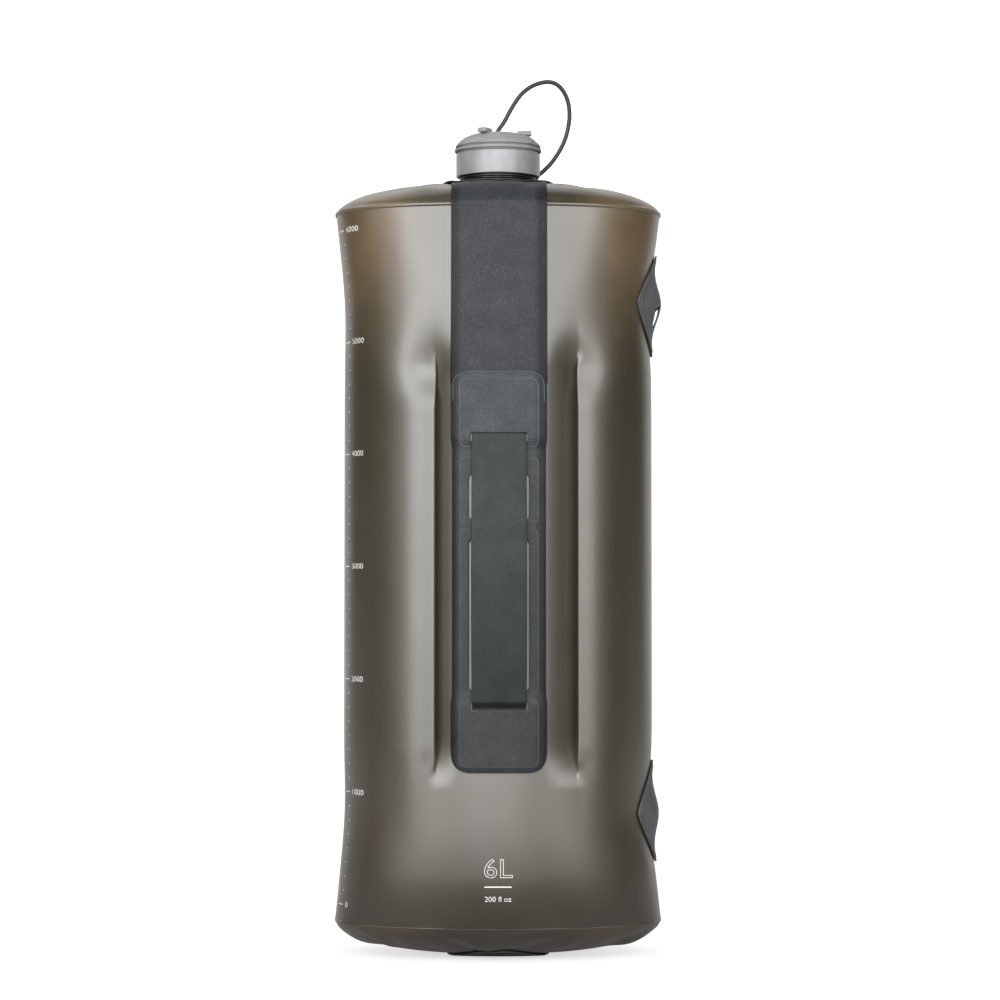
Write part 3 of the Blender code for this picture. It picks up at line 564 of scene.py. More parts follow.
def poly_curve(lines, closed=False, **settings):
    """A curve of straight runs through these points, which lie flat where they have no third value."""
    curve = bpy.data.curves.new("line", "CURVE")
    for word, value in settings.items():
        setattr(curve, word, value)
    for line in lines:
        spline = curve.splines.new("POLY")
        spline.points.add(len(line) - 1)
        for point, place in zip(spline.points, line, strict=True):
            point.co = (*place, *[0] * (3 - len(place)), 1)
        spline.use_cyclic_u = closed
    return curve


def plan_of(curve):
    """The mesh of a curve or text as a bmesh. A flat one is in plan: X across, Y up and Z off the film."""
    holder = put_in_scene(curve.name, curve)
    graph = bpy.context.evaluated_depsgraph_get()
    mesh = bpy.data.meshes.new_from_object(holder.evaluated_get(graph))
    bpy.data.objects.remove(holder)
    bpy.data.curves.remove(curve)
    shape = bmesh.new()
    shape.from_mesh(mesh)
    bpy.data.meshes.remove(mesh)
    bmesh.ops.remove_doubles(shape, verts=shape.verts, dist=0.000002)
    return shape


def lettering(words, height, spacing=1.0, outlined=0.0):
    """Printed words in plan, their middle at 0, as tall as height in capitals and figures."""
    text = bpy.data.curves.new("words", "FONT")
    text.body = words
    text.size = height / 0.73
    text.space_character = spacing
    text.align_x = "CENTER"
    text.align_y = "CENTER"
    if outlined:
        text.fill_mode = "NONE"
        text.bevel_depth = outlined / 2
        text.bevel_resolution = 1
    else:
        text.extrude = INK_WALL / 2
        text.offset = -height * 0.004
    return plan_of(text)


def box(size, middle, edge=0.0, segments=2, turn=0.0):
    """A box, its edges rounded, turned round the neck's axis from where it lies to the right of it."""
    shape = bmesh.new()
    bmesh.ops.create_cube(shape, size=1)
    bmesh.ops.scale(shape, vec=size, verts=shape.verts)
    if edge:
        kind = {"offset_type": "OFFSET", "affect": "EDGES", "profile": 0.5, "material": -1}
        bmesh.ops.bevel(shape, geom=shape.edges, offset=edge, segments=segments, **kind)
    bmesh.ops.translate(shape, vec=middle, verts=shape.verts)
    bmesh.ops.rotate(shape, cent=(0, 0, 0), matrix=Matrix.Rotation(turn, 3, "Z"), verts=shape.verts)
    return shape


def join_into(whole, part):
    """Adds one bmesh to another."""
    mesh = as_mesh("part", part)
    whole.from_mesh(mesh)
    bpy.data.meshes.remove(mesh)


def lay_out(whole, part, step, wide=1.0, middle=(0, 0)):
    """Widens a printed plan, puts it in its place, cuts it so that it can follow the film, and adds it."""
    bmesh.ops.scale(part, vec=(wide, 1, 1), verts=part.verts)
    bmesh.ops.translate(part, vec=(*middle, 0), verts=part.verts)
    cut_across(part, step, (1, 0, 0))
    join_into(whole, part)


def print_on(name, shape, place):
    """Lays a printed plan on the film through place(across, up), which gives X and Z on the front wall."""
    for vert in shape.verts:
        x, z = place(vert.co.x, vert.co.y)
        vert.co = wall_point(x, z, -1, INK_LIFT + vert.co.z)
    bmesh.ops.recalc_face_normals(shape, faces=shape.faces)
    finished(name, shape, "bag", None, ink_material)


ink_material, ink_shader = new_material("white_ink", (0.80, 0.79, 0.76), 0.5)
ink_tree = ink_material.node_tree
ink_grain = add_node(ink_tree, "TexNoise", add_node(ink_tree, "TexCoord", out="Object"), Scale=2600.0, Detail=1.0)
feed(ink_shader, Roughness=ramp(ink_tree, ink_grain, 0.3, 0.7, 0.42, 0.6))

marks = bmesh.new()
for step in range(6 * SCALE_STEPS + 1):
    up = SCALE_ZERO + SCALE_LITRE * step / SCALE_STEPS
    if step % SCALE_STEPS:
        join_into(marks, box((0.0013, 0.00055, INK_WALL), (DOT_PLACE, up, 0)))
        continue
    lay_out(marks, box((TICK_END - TICK_START, 0.0006, INK_WALL), ((TICK_START + TICK_END) / 2, up, 0)), 0.0015)
    number = str(step // SCALE_STEPS * 1000)
    figures = lettering(number, DIGIT_HEIGHT, 1.02)
    start, end = min(vert.co.x for vert in figures.verts), max(vert.co.x for vert in figures.verts)
    widen = DIGIT_PITCH * len(number) * 0.97 / (end - start)
    lay_out(marks, figures, 0.0012, widen, (DIGIT_START - start * widen, up))
join_into(marks, box((0.0004, 0.0185, INK_WALL), (TICK_START, SCALE_ZERO + 0.0093, 0)))
print_on("litre_scale", marks, lambda along, up: (left_of_front(along, up), up))

capacity = bmesh.new()
lay_out(capacity, lettering("6L", 0.0104, 1.04, 0.00038), 0.003, 1.10, (0, 0.0514))
lay_out(capacity, box((0.0147, 0.0007, INK_WALL), (0, 0.0420, 0)), 0.002)
lay_out(capacity, lettering("200 fl oz", 0.0030), 0.002, 1.02, (0, 0.0352))
print_on("capacity_print", capacity, lambda across, up: (across, up))

# Neck. One black gloss moulding: a wide flange welded under the top film, a short collar over the patch,
# and the wide-mouth spout with its thread.

NECK_BORE = 0.017
NECK_TOP = SEAM_HIGH + 0.0309
COLLAR_LOW = SEAM_HIGH + 0.0183


def loop_of(shape, outline):
    """Adds a closed loop of (radius, height) points."""
    verts = [shape.verts.new((radius, 0, height)) for radius, height in outline]
    return verts, [shape.edges.new(pair) for pair in zip(verts, verts[1:] + verts[:1], strict=True)]


def turned(outline, steps=96):
    """Spins a closed outline of (radius, height) round the neck's axis."""
    shape = bmesh.new()
    verts, edges = loop_of(shape, outline)
    whole = {"cent": (0, 0, 0), "axis": (0, 0, 1), "angle": math.tau, "use_merge": True}
    bmesh.ops.spin(shape, geom=verts + edges, steps=steps, **whole)
    bmesh.ops.remove_doubles(shape, verts=shape.verts, dist=0.000002)
    bmesh.ops.dissolve_degenerate(shape, edges=shape.edges, dist=0.000002)
    bmesh.ops.recalc_face_normals(shape, faces=shape.faces)
    return shape


def rounded(outline, radius, steps=4):
    """Rounds the corners of a closed outline that are marked with a third value, True."""
    made = []
    for index, point in enumerate(outline):
        if len(point) < 3:
            made.append(point)
            continue
        here = Vector(point[:2])
        before = Vector(outline[index - 1][:2]) - here
        after = Vector(outline[(index + 1) % len(outline)][:2]) - here
        cut = min(radius, before.length * 0.49, after.length * 0.49)
        start, end = here + before.normalized() * cut, here + after.normalized() * cut
        for t in (step / steps for step in range(steps + 1)):
            made.append(tuple(start * (1 - t) ** 2 + here * 2 * t * (1 - t) + end * t**2))
    return made


low = DOME_TOP - 0.0009
neck_outline = [(NECK_BORE, low - 0.0012), (0.029, low - 0.0012), (0.029, low), (NECK_RADIUS, low)]
neck_outline += [(NECK_RADIUS, COLLAR_LOW), (0.0215, COLLAR_LOW, True), (0.0215, COLLAR_LOW + 0.001, True)]
neck_outline += [(NECK_RADIUS, COLLAR_LOW + 0.001), (NECK_RADIUS, NECK_TOP, True), (NECK_BORE, NECK_TOP, True)]
neck_shape = turned(rounded(neck_outline, 0.0005))
thread = bmesh.new()
crest = [(NECK_RADIUS - 0.0004, -0.0011), (0.0203, -0.0004), (0.0203, 0.0004), (NECK_RADIUS - 0.0004, 0.0011)]
verts, edges = loop_of(thread, [(radius, COLLAR_LOW + 0.0040 + up) for radius, up in crest])
bmesh.ops.contextual_create(thread, geom=edges)
climb = (0, 0, 0.0042 / 72)
bmesh.ops.spin(thread, geom=edges, cent=(0, 0, 0), axis=(0, 0, 1), dvec=climb, angle=math.tau * 1.5, steps=108)
bmesh.ops.holes_fill(thread, edges=[edge for edge in thread.edges if edge.is_boundary], sides=4)
bmesh.ops.recalc_face_normals(thread, faces=thread.faces)
join_into(neck_shape, thread)

# The look of moulded plastic: a fine even grain in its surface and its gloss, and slight unevenness of
# colour.
tree, given, result = new_group("moulded_grain", "Colour", "Roughness", "Grain", "Depth")
spot = add_node(tree, "TexCoord", out="Object")
fine = add_node(tree, "TexNoise", spot, Scale=given["Grain"], Detail=2.0)
wide = add_node(tree, "TexNoise", spot, Scale=160.0, Detail=2.0)
feed(
    result,
    Colour=scaled(tree, given["Colour"], ramp(tree, wide, 0.3, 0.7, 0.88, 1.1)),
    Roughness=reckon(tree, "ADD", ramp(tree, wide, 0.3, 0.7, -0.03, 0.05), given["Roughness"]),
    Normal=add_node(tree, "Bump", Distance=0.00005, Height=fine, Strength=given["Depth"]),
)
grain_group = tree


def moulded_material(name, colour, roughness, grain, depth, mirrored=0.5):
    """Moulded plastic of one colour."""
    material, shader = new_material(name, colour, roughness)
    feed(shader, Specular_IOR_Level=mirrored)
    take_look(shader, grain_group, Grain=grain, Depth=depth)
    return material


neck_black = moulded_material("neck_black", (0.009, 0.009, 0.010), 0.22, 900.0, 0.1)
finished("neck_moulding", neck_shape, "bag", "neck_spout", neck_black, 30)

# Neck patch and straps. Charcoal coated cloth. A round patch is welded over the film round the neck, and a
# plain band runs out from under it on each side, over the end seam and down the wall to the handle panel.

FRONT_SHIFT = 0.0006
STRAP_WIDTH = 0.052
STRAP_WALL = 0.0007
STRAP_RISE = 0.0004
STRAP_END = 0.3135
PATCH_RADIUS = 0.0385
PATCH_WALL = 0.0007
PATCH_RISE = STRAP_RISE + STRAP_WALL + 0.0004
CLOTH_COLOUR = (0.030, 0.033, 0.036)
CLOTH_FLECK = (0.062, 0.070, 0.076)

# The look of coated cloth: a plain weave under a clear coat, flecked where the coat is thin. Its colour is darkened
# low down, and by its margin value near its long edges: both painted shade.
tree, given, result = new_group("coated_cloth", "Colour", "Fleck Colour", "Flecks", "Roughness", "Weave", "Margin")
spot = add_node(tree, "TexCoord", out="Object")
parts = add_node(tree, "SeparateXYZ", spot, out=None)
fleck = add_node(tree, "TexNoise", spot, Scale=950.0, Detail=2.0, Roughness=0.6)
patches = add_node(tree, "TexNoise", spot, Scale=85.0, Detail=3.0)
fleck_place = reckon(tree, "MULTIPLY", ramp(tree, fleck, 0.50, 0.72), given["Flecks"], True)
colour = mixed(tree, fleck_place, given["Colour"], given["Fleck Colour"])
colour = scaled(tree, colour, ramp(tree, patches, 0.3, 0.7, 0.86, 1.14))
across = reckon(tree, "ABSOLUTE", parts["X"])
at_margin = ramp(tree, across, 0.0190, 0.0235, kind="SMOOTHSTEP")
painted_margin_shade = reckon(tree, "SUBTRACT", 1.0, reckon(tree, "MULTIPLY", at_margin, given["Margin"]))
# Painted shade: darker low down, and darker by the margin value near the long edges.
shade = reckon(tree, "MULTIPLY", ramp(tree, parts["Z"], 0.12, 0.29, 0.64, 1.0), painted_margin_shade)
threads = [
    add_node(tree, "TexWave", spot, Scale=170.0, Distortion=0.4, bands_direction=direction, out="Fac")
    for direction in ("X", "Z")
]
weave = reckon(tree, "MULTIPLY", *threads)
weave_bump = add_node(tree, "Bump", Distance=0.00008, Height=weave, Strength=given["Weave"])
feed(
    result,
    Colour=scaled(tree, colour, shade),
    Roughness=reckon(tree, "ADD", ramp(tree, fleck, 0.35, 0.65, 0.05, -0.06), given["Roughness"]),
    Normal=add_node(tree, "Bump", Strength=0.3, Distance=0.00008, Height=fleck, Normal=weave_bump),
)
cloth_group = tree


def cloth_material(name, colour, fleck_colour, flecks, roughness, weave_depth, margin=0.0):
    """Coated cloth of one colour, with painted shade low down and, by its margin value, near its long edges."""
    material, shader = new_material(name, colour, roughness)
    feed(shader, Specular_IOR_Level=0.2)
    fleck_colour = (*fleck_colour, 1)
    take_look(shader, cloth_group, Fleck_Colour=fleck_colour, Flecks=flecks, Weave=weave_depth, Margin=margin)
    return material


def over_straps(point):
    """The patch lies on the film, and rises where the straps run under it."""
    beside = (abs(point.x) - STRAP_WIDTH / 2 - 0.0003) / 0.006
    return PATCH_RISE + (0.0003 - PATCH_RISE) * smooth_step(beside)


def patch_place(turn, reach):
    x, y = math.cos(turn) * reach, math.sin(turn) * reach
    return Vector((x, y, dome_height(x, y)))


patch_rings = spread_out(NECK_RADIUS + 0.0003, PATCH_RADIUS, 0.0011) + [PATCH_RADIUS]
patch_shape = laid_grid(end_turns, patch_rings, patch_place)
stand_off(patch_shape, over_straps)
patch_cloth = cloth_material("patch_cloth", CLOTH_COLOUR, CLOTH_FLECK, 0.55, 0.50, 0.25)
neck_patch = finished("neck_patch_cloth", patch_shape, "bag", "neck_patch", patch_cloth, 60)
give_wall(neck_patch, PATCH_WALL, outwards=True, edge=0.0002)


def strap_lift(point):
    """A little higher over the lip of the end seam."""
    return STRAP_RISE + SEAM_LIP * (1 - smooth_step(abs(point.z - SEAM_HIGH) / 0.005))


# Margin 0.55: painted shade near the strap's long edges.
strap_cloth = cloth_material("strap_cloth", CLOTH_COLOUR, CLOTH_FLECK, 0.55, 0.52, 0.25, 0.55)
strap_columns = spread_out(-STRAP_WIDTH / 2, STRAP_WIDTH / 2, 0.0016) + [STRAP_WIDTH / 2]
strap_rows = [("top", step / 26) for step in range(27)] + [("wall", step / 45) for step in range(1, 46)]
for side_word, side in SIDES:

    def strap_place(x, row):
        part, share = row
        x += FRONT_SHIFT * (side < 0)
        if part == "top":
            rim = half_depth(SEAM_HIGH) * oval_share(x / half_width(SEAM_HIGH))
            y = NECK_RADIUS + 0.0006 + (rim - NECK_RADIUS - 0.0006) * math.sin(share * math.pi / 2)
            return Vector((x, side * y, dome_height(x, side * y)))
        z = SEAM_HIGH + (STRAP_END - SEAM_HIGH) * share**1.2
        return Vector((x, side * wall_depth(x, z), z))

    strap_shape = laid_grid(strap_columns, strap_rows, strap_place)
    stand_off(strap_shape, strap_lift)
    bend = [vert for vert in strap_shape.verts if abs(vert.co.z - SEAM_HIGH) < 0.004 and not vert.is_boundary]
    bmesh.ops.smooth_vert(strap_shape, verts=bend, factor=0.5, use_axis_x=True, use_axis_y=True, use_axis_z=True)
    name = side_word + "_strap"
    strap = finished(name + "_cloth", strap_shape, "bag", name, strap_cloth, 60)
    give_wall(strap, STRAP_WALL, outwards=True, edge=0.0002)

# Handle panels. Coated cloth on a stiff core, cut with a narrow slot at each end and two windows between,
# and welded to the film round its rim and round each window, which leaves thin raised beads. The beads are coloured
# lighter than the panel, a painted highlight on them, and a light bead along the panel's top edge is a painted
# highlight of its cut edge.

PANEL_WIDTH = 0.0503
PANEL_LOW = 0.1034
PANEL_HIGH = 0.3210
PANEL_WALL = 0.0012
PANEL_RISE = 0.0018
PANEL_RIM = 0.0031
BEAD = 0.00032
SLOT_LOW = 0.1399
SLOT_HIGH = 0.2847
SLOT_HEIGHT = 0.0048
SLOT_WIDTH = 0.0308
WINDOWS = ((0.1478, 0.2291), (0.2399, 0.2648))
WINDOW_WIDTH = 0.0325


def panel_lift(z):
    """The panel lies on the film between its slots, and stands off it over the webbing's two tails."""
    beyond = max((z - SLOT_HIGH) / 0.007, (SLOT_LOW - z) / 0.007)
    ends = smooth_step(min((z - PANEL_LOW) / PANEL_RIM, (PANEL_HIGH - z) / PANEL_RIM))
    return 0.0003 + (PANEL_RISE - 0.0003 * (1 - ends) - 0.0003) * smooth_step(beyond + 1)


def panel_height(x, z, level):
    """Height off the film at this level in the panel, 0 to 1. Its rim is pressed down."""
    edge = min(PANEL_WIDTH / 2 - abs(x), z - PANEL_LOW, PANEL_HIGH - z)
    pressed = 0.55 * (1 - smooth_step(edge / PANEL_RIM))
    return panel_lift(z) + PANEL_WALL * level * (1 - pressed)


def corners(width, low, high):
    """A rectangle's corners, marked for rounding."""
    half = width / 2
    return [(-half, low, True), (half, low, True), (half, high, True), (-half, high, True)]


def cut_sheet(outlines, wall, edge):
    """A flat sheet in plan with the first outline, and holes for the others. Its cut edges are rounded."""
    settings = {"dimensions": "2D", "fill_mode": "BOTH", "extrude": wall / 2 - edge, "offset": -edge}
    shape = plan_of(poly_curve(outlines, closed=True, **settings, bevel_depth=edge, bevel_resolution=1))
    bmesh.ops.dissolve_limit(shape, angle_limit=0.01, verts=shape.verts, edges=shape.edges)
    return shape


def bead_plan(path, thick):
    """A thin bead in plan along an open path."""
    points = [Vector(path[0])]
    for place in path[1:]:
        steps = math.ceil((Vector(place) - points[-1]).length / 0.0025)
        for step in range(steps):
            points.append(points[-1] + (Vector(place) - points[-1]) / (steps - step))
    return plan_of(poly_curve([points], dimensions="3D", bevel_depth=thick, bevel_resolution=2, use_fill_caps=True))


def mirrored(path):
    return [(-point[0], *point[1:]) for point in path]


# Margin 0.6: painted shade near the panel's long edges.
panel_cloth = cloth_material("panel_cloth", (0.043, 0.048, 0.050), (0.086, 0.095, 0.098), 0.5, 0.44, 0.2, 0.6)
# The beads' lighter colour is a painted highlight on the raised welds.
bead_highlight_cloth = cloth_material("weld_bead_painted_highlight", (0.088, 0.097, 0.100), (0.116, 0.127, 0.129), 0.4, 0.38, 0.1)
bead_in, bead_out = 0.0150, 0.0208
top_cell = [(-bead_in, 0.2795), (-bead_out, 0.2795, True), (-bead_out, 0.3163, True)]
low_cell = [(-bead_in, 0.1424), (-bead_out, 0.1424, True), (-bead_out, 0.1067, True)]
beads = [(cell + mirrored(cell)[::-1], 0.0045, BEAD) for cell in (top_cell, low_cell)]
for low, high in ((0.2388, 0.2735), (0.1467, 0.2345)):
    cell = [(-bead_in - 0.0006, low), (-bead_out, low, True), (-bead_out, high, True), (-bead_in - 0.0006, high)]
    beads += [(cell, 0.0045, BEAD), (mirrored(cell), 0.0045, BEAD)]
# A light line just inside the panel's top edge: a painted highlight of the cut edge.
top_edge_highlight = [(-0.0239, 0.3040), (-0.0239, 0.3200, True)]
beads.append((top_edge_highlight + mirrored(top_edge_highlight)[::-1], 0.0092, BEAD * 0.7))
slot_corners = [corners(SLOT_WIDTH, at - SLOT_HEIGHT / 2, at + SLOT_HEIGHT / 2) for at in (SLOT_LOW, SLOT_HIGH)]
window_corners = [corners(WINDOW_WIDTH, low, high) for low, high in WINDOWS]
panel_outlines = [rounded(corners(PANEL_WIDTH, PANEL_LOW, PANEL_HIGH), 0.0105, 10)]
panel_outlines += [rounded(outline, 0.0012) for outline in slot_corners]
panel_outlines += [rounded(outline, 0.0030) for outline in window_corners]
for side_word, side in SIDES:
    shift = FRONT_SHIFT * (side < 0)
    panel_shape = cut_sheet(panel_outlines, PANEL_WALL, 0.0002)
    cut_across(panel_shape, 0.0022, (1, 0, 0))
    cut_across(panel_shape, 0.0018, (0, 1, 0))
    for vert in panel_shape.verts:
        x, z, above = vert.co
        vert.co = wall_point(x + shift, z, side, panel_height(x, z, above / PANEL_WALL + 0.5))
    panel_faces = len(panel_shape.faces)
    for path, radius, thick in beads:
        bead = bead_plan(rounded(path, radius, 8), thick)
        for vert in bead.verts:
            x, z, above = vert.co
            vert.co = wall_point(x + shift, z, side, panel_height(x, z, 1) + above * 0.8)
        join_into(panel_shape, bead)
    bmesh.ops.recalc_face_normals(panel_shape, faces=panel_shape.faces)
    panel_shape.faces.ensure_lookup_table()
    for face in panel_shape.faces[panel_faces:]:
        face.material_index = 1
    node = side_word + "_handle_panel"
    panel = finished(side_word + "_panel_cloth", panel_shape, "bag", node, panel_cloth, 45)
    panel.data.materials.append(bead_highlight_cloth)

# Webbing grips. One flat coated band on each side, its tails welded behind the handle panel. It comes out
# through the two slots and stands off the panel between them, for a hand.

WEBBING_WIDTH = 0.0290
WEBBING_WALL = 0.0012
WEBBING_TAIL = 0.017
WEBBING_BOW = 0.0034
WEBBING_RAMP = 0.0040


def webbing_lift(z):
    """Height of the webbing's underside off the film: low behind the panel, high in front of it."""
    share = (z - SLOT_LOW) / (SLOT_HIGH - SLOT_LOW)
    front = PANEL_RISE + PANEL_WALL + 0.0003 + WEBBING_BOW * math.sin(math.pi * min(max(share, 0), 1))
    out = smooth_step(min(z - SLOT_LOW, SLOT_HIGH - z) / WEBBING_RAMP + 0.5)
    return 0.0003 + (front - 0.0003) * out


def flat_section(width, wall):
    """A flat band's section with rounded edges, as (across, height), closed by its last point."""
    bend = wall / 2
    half = width / 2 - bend
    section = []
    for side in (1, -1):
        section += [(side * (half * step / 6 - half), bend + side * bend) for step in range(13)]
        for turn in (math.radians(30 * step) for step in range(1, 6)):
            section.append((side * (half + bend * math.sin(turn)), bend + side * bend * math.cos(turn)))
    return section + section[:1]


webbing_cloth = cloth_material("webbing_cloth", (0.029, 0.034, 0.035), (0.046, 0.052, 0.054), 0.35, 0.50, 0.5)
middle = (SLOT_LOW + SLOT_HIGH) / 2
for side_word, side in SIDES:

    def webbing_place(column, z):
        across, height = column
        return wall_point(across + FRONT_SHIFT * (side < 0), z, side, webbing_lift(z) + height)

    for half_word, slot, tail in (("lower", SLOT_LOW, -1), ("upper", SLOT_HIGH, 1)):
        ramp_start, ramp_end = slot + tail * 0.003, slot - tail * 0.003
        rows = spread_out(slot + tail * WEBBING_TAIL, ramp_start, 0.002)
        rows += spread_out(ramp_start, ramp_end, 0.0005) + spread_out(ramp_end, middle, 0.002) + [middle]
        band_shape = laid_grid(flat_section(WEBBING_WIDTH, WEBBING_WALL), rows, webbing_place)
        bmesh.ops.holes_fill(band_shape, edges=[edge for edge in band_shape.edges if edge.is_boundary], sides=0)
        bmesh.ops.recalc_face_normals(band_shape, faces=band_shape.faces)
        name = side_word + "_webbing_" + half_word
        band = finished(name, band_shape, None, side_word + "_handle_webbing", webbing_cloth)
        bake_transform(band)

# Lash tabs. Two diamonds of stiff charcoal plastic sheet welded over the right side seam. The middle of
# each is cut free by two slits and bowed outwards, so that a cord can be tied through it.

TAB_HALF_HEIGHT = 0.0283
TAB_HALF_WIDTH = 0.0272
TAB_WALL = 0.0010
TAB_RISE = 0.0004
BRIDGE_HALF_WIDTH = 0.0085
BRIDGE_SLIT = 0.0016
BRIDGE_HALF_HEIGHT = 0.0140
TAB_BORDER = 0.0022


def tab_edge(up):
    taper = max(0, 1 - (abs(up) / TAB_HALF_HEIGHT) ** 1.25) ** 0.78
    return TAB_HALF_WIDTH * (0.13 + 0.87 * taper)


def side_point(y, z, height):
    """A point of the right side at this Y, raised square to the film."""
    share = oval_share(y / half_depth(z))
    here = Vector((half_width(z) * share, y, z))
    step = 0.0005
    across = half_width(z) * (oval_share((y + step) / half_depth(z)) - oval_share((y - step) / half_depth(z)))
    up = (half_width(z + step) - half_width(z - step)) * share
    return here + Vector((step + step, -across, -up)).normalized() * height


def tab_height(y, up, z, rise, parting):
    """The tab bows off the film along its middle, from its welded border inwards. Beside the lower half of
    the bridge it lies back towards the film by the share that parting gives, which opens the slits."""
    ridge = max(0, 1 - (up / TAB_HALF_HEIGHT) ** 2) ** 4
    inside = tab_edge(up) - TAB_BORDER
    slope = smooth_step((inside - abs(y)) / max(inside - BRIDGE_HALF_WIDTH, 0.004) * 1.1)
    levelling = half_width(z) * (1 - oval_share(min(abs(y), BRIDGE_HALF_WIDTH) / half_depth(z)))
    if abs(y) > BRIDGE_HALF_WIDTH + BRIDGE_SLIT / 2:
        below = smooth_step((0.001 - up) / 0.005) * smooth_step((up + 0.0155) / 0.005)
        slope *= 1 - parting * below
    return TAB_RISE + (rise + levelling) * ridge * slope


ups = [TAB_HALF_HEIGHT * math.sin(math.radians(step * 7.5)) for step in range(-12, 13)]
tab_outline = [(-tab_edge(up), up) for up in ups] + [(tab_edge(up), up) for up in reversed(ups)]
slit_middle = BRIDGE_HALF_WIDTH + BRIDGE_SLIT / 2
slit = corners(BRIDGE_SLIT, -BRIDGE_HALF_HEIGHT, BRIDGE_HALF_HEIGHT)
slits = [rounded([(x + side * slit_middle, z, mark) for x, z, mark in slit], 0.0006) for side in (-1, 1)]
inset = [(side_y * 0.91, up * 0.91) for side_y, up in tab_outline]
tab_plastic = moulded_material("tab_plastic", (0.092, 0.093, 0.097), 0.46, 700.0, 0.25)
for tab_word, at, rise, parting in (("lower", TAB_LOW, 0.0044, 0.10), ("upper", TAB_HIGH, 0.0058, 0.42)):
    tab_shape = cut_sheet([tab_outline, *slits], TAB_WALL, 0.0003)
    cut_across(tab_shape, 0.0016, (0, 1, 0))
    cut_across(tab_shape, 0.0017, (1, 0, 0))
    bmesh.ops.translate(tab_shape, vec=(0, 0, TAB_WALL / 2), verts=tab_shape.verts)
    rim = bead_plan(inset + inset[:1], 0.0003)
    bmesh.ops.translate(rim, vec=(0, 0, TAB_WALL), verts=rim.verts)
    join_into(tab_shape, rim)
    for vert in tab_shape.verts:
        y, up, level = vert.co
        vert.co = side_point(y, at + up, tab_height(y, up, at + up, rise, parting) + level)
    bmesh.ops.recalc_face_normals(tab_shape, faces=tab_shape.faces)
    finished(tab_word + "_tab_sheet", tab_shape, "bag", tab_word + "_lash_tab", tab_plastic, 45)

# Base patch. An oval of the same coated cloth welded under the foot, where the bag stands and wears.

BASE_HALF_WIDTH = 0.0286
BASE_HALF_DEPTH = 0.0380
BASE_WALL = 0.0012


def base_place(turn, share):
    x, y = BASE_HALF_WIDTH * share * math.cos(turn), BASE_HALF_DEPTH * share * math.sin(turn)
    return Vector((x, y, foot_height(seam_share(x, y, SEAM_LOW), turn) - 0.0003))


base_shape = laid_grid(end_turns, [step / 24 for step in range(25)], base_place)
base_cloth = cloth_material("base_cloth", (0.045, 0.048, 0.052), CLOTH_FLECK, 0.5, 0.55, 0.4)
base = finished("base_patch_cloth", base_shape, "bag", "base_patch", base_cloth, 60)
give_wall(base, BASE_WALL, outwards=True, edge=0.0004)

# Tether ring. A thin black nylon ring, loose round the neck over the collar, with an ear on its right that
# carries a short boss for the cord.

RING_LOW = COLLAR_LOW + 0.001 + 0.0003
EAR_PLACE = Vector((0.0215, 0.0150, 0))
BOSS_HIGH = RING_LOW + 0.0014


def flat_ring(inner, outer, low):
    """A flat ring, 1 mm thick, with rounded edges."""
    high = low + 0.001
    return turned(rounded([(inner, low, True), (outer, low, True), (outer, high, True), (inner, high, True)], 0.0003))


ring_shape = flat_ring(NECK_RADIUS + 0.0003, NECK_RADIUS + 0.0023, RING_LOW)
ear_reach = EAR_PLACE.length - NECK_RADIUS - 0.0010
ear_middle = (EAR_PLACE.length - ear_reach / 2, 0, RING_LOW + 0.0005)
ear_turn = math.atan2(EAR_PLACE.y, EAR_PLACE.x)
join_into(ring_shape, box((ear_reach, 0.0044, 0.001), ear_middle, 0.0002, turn=ear_turn))
boss_outline = [(0, BOSS_HIGH), (0.0022, BOSS_HIGH, True), (0.0022, BOSS_HIGH - 0.0024, True), (0, BOSS_HIGH - 0.0024)]
boss = turned(rounded(boss_outline, 0.0004), 40)
bmesh.ops.translate(boss, vec=EAR_PLACE, verts=boss.verts)
join_into(ring_shape, boss)
ring_nylon = moulded_material("ring_nylon", (0.016, 0.016, 0.018), 0.36, 800.0, 0.2)
finished("neck_ring", ring_shape, "bag", "tether_ring", ring_nylon)

# Swivel. A small black pin with a wide head sits in the crown of the cap and turns there, so that the
# tether doesn't wind up as the cap is screwed. The cord is moulded into it.

CAP_DECK_LOW = NECK_TOP + 0.0003 + 0.0010 + 0.0003
CAP_HIGH = CAP_DECK_LOW + 0.0015
CAP_LOW = CAP_HIGH - 0.0131
CROWN_LOW = CAP_HIGH + 0.0003
CAP_TOP = CROWN_LOW + 0.0115
HEAD_RADIUS = 0.0046
HEAD_LOW = CAP_TOP - 0.0014
STEM_LOW = HEAD_LOW - 0.0022
swivel_outline = [(0, CAP_TOP), (HEAD_RADIUS, CAP_TOP, True), (HEAD_RADIUS, HEAD_LOW)]
swivel_outline += [(0.0018, HEAD_LOW), (0.0018, STEM_LOW), (0.0034, STEM_LOW, True)]
swivel_outline += [(0.0034, STEM_LOW - 0.0012, True), (0, STEM_LOW - 0.0012)]
swivel_nylon = moulded_material("swivel_nylon", (0.020, 0.020, 0.022), 0.4, 800.0, 0.2)
swivel_shape = turned(rounded(swivel_outline, 0.0004), 64)
finished("swivel_head", swivel_shape, "tether", "tether_swivel", swivel_nylon)

# Tether cord. A springy rubber cord, 2.4 mm thick, that stands up out of the swivel in a loop by its own
# stiffness and comes down on the right to the ring's boss.

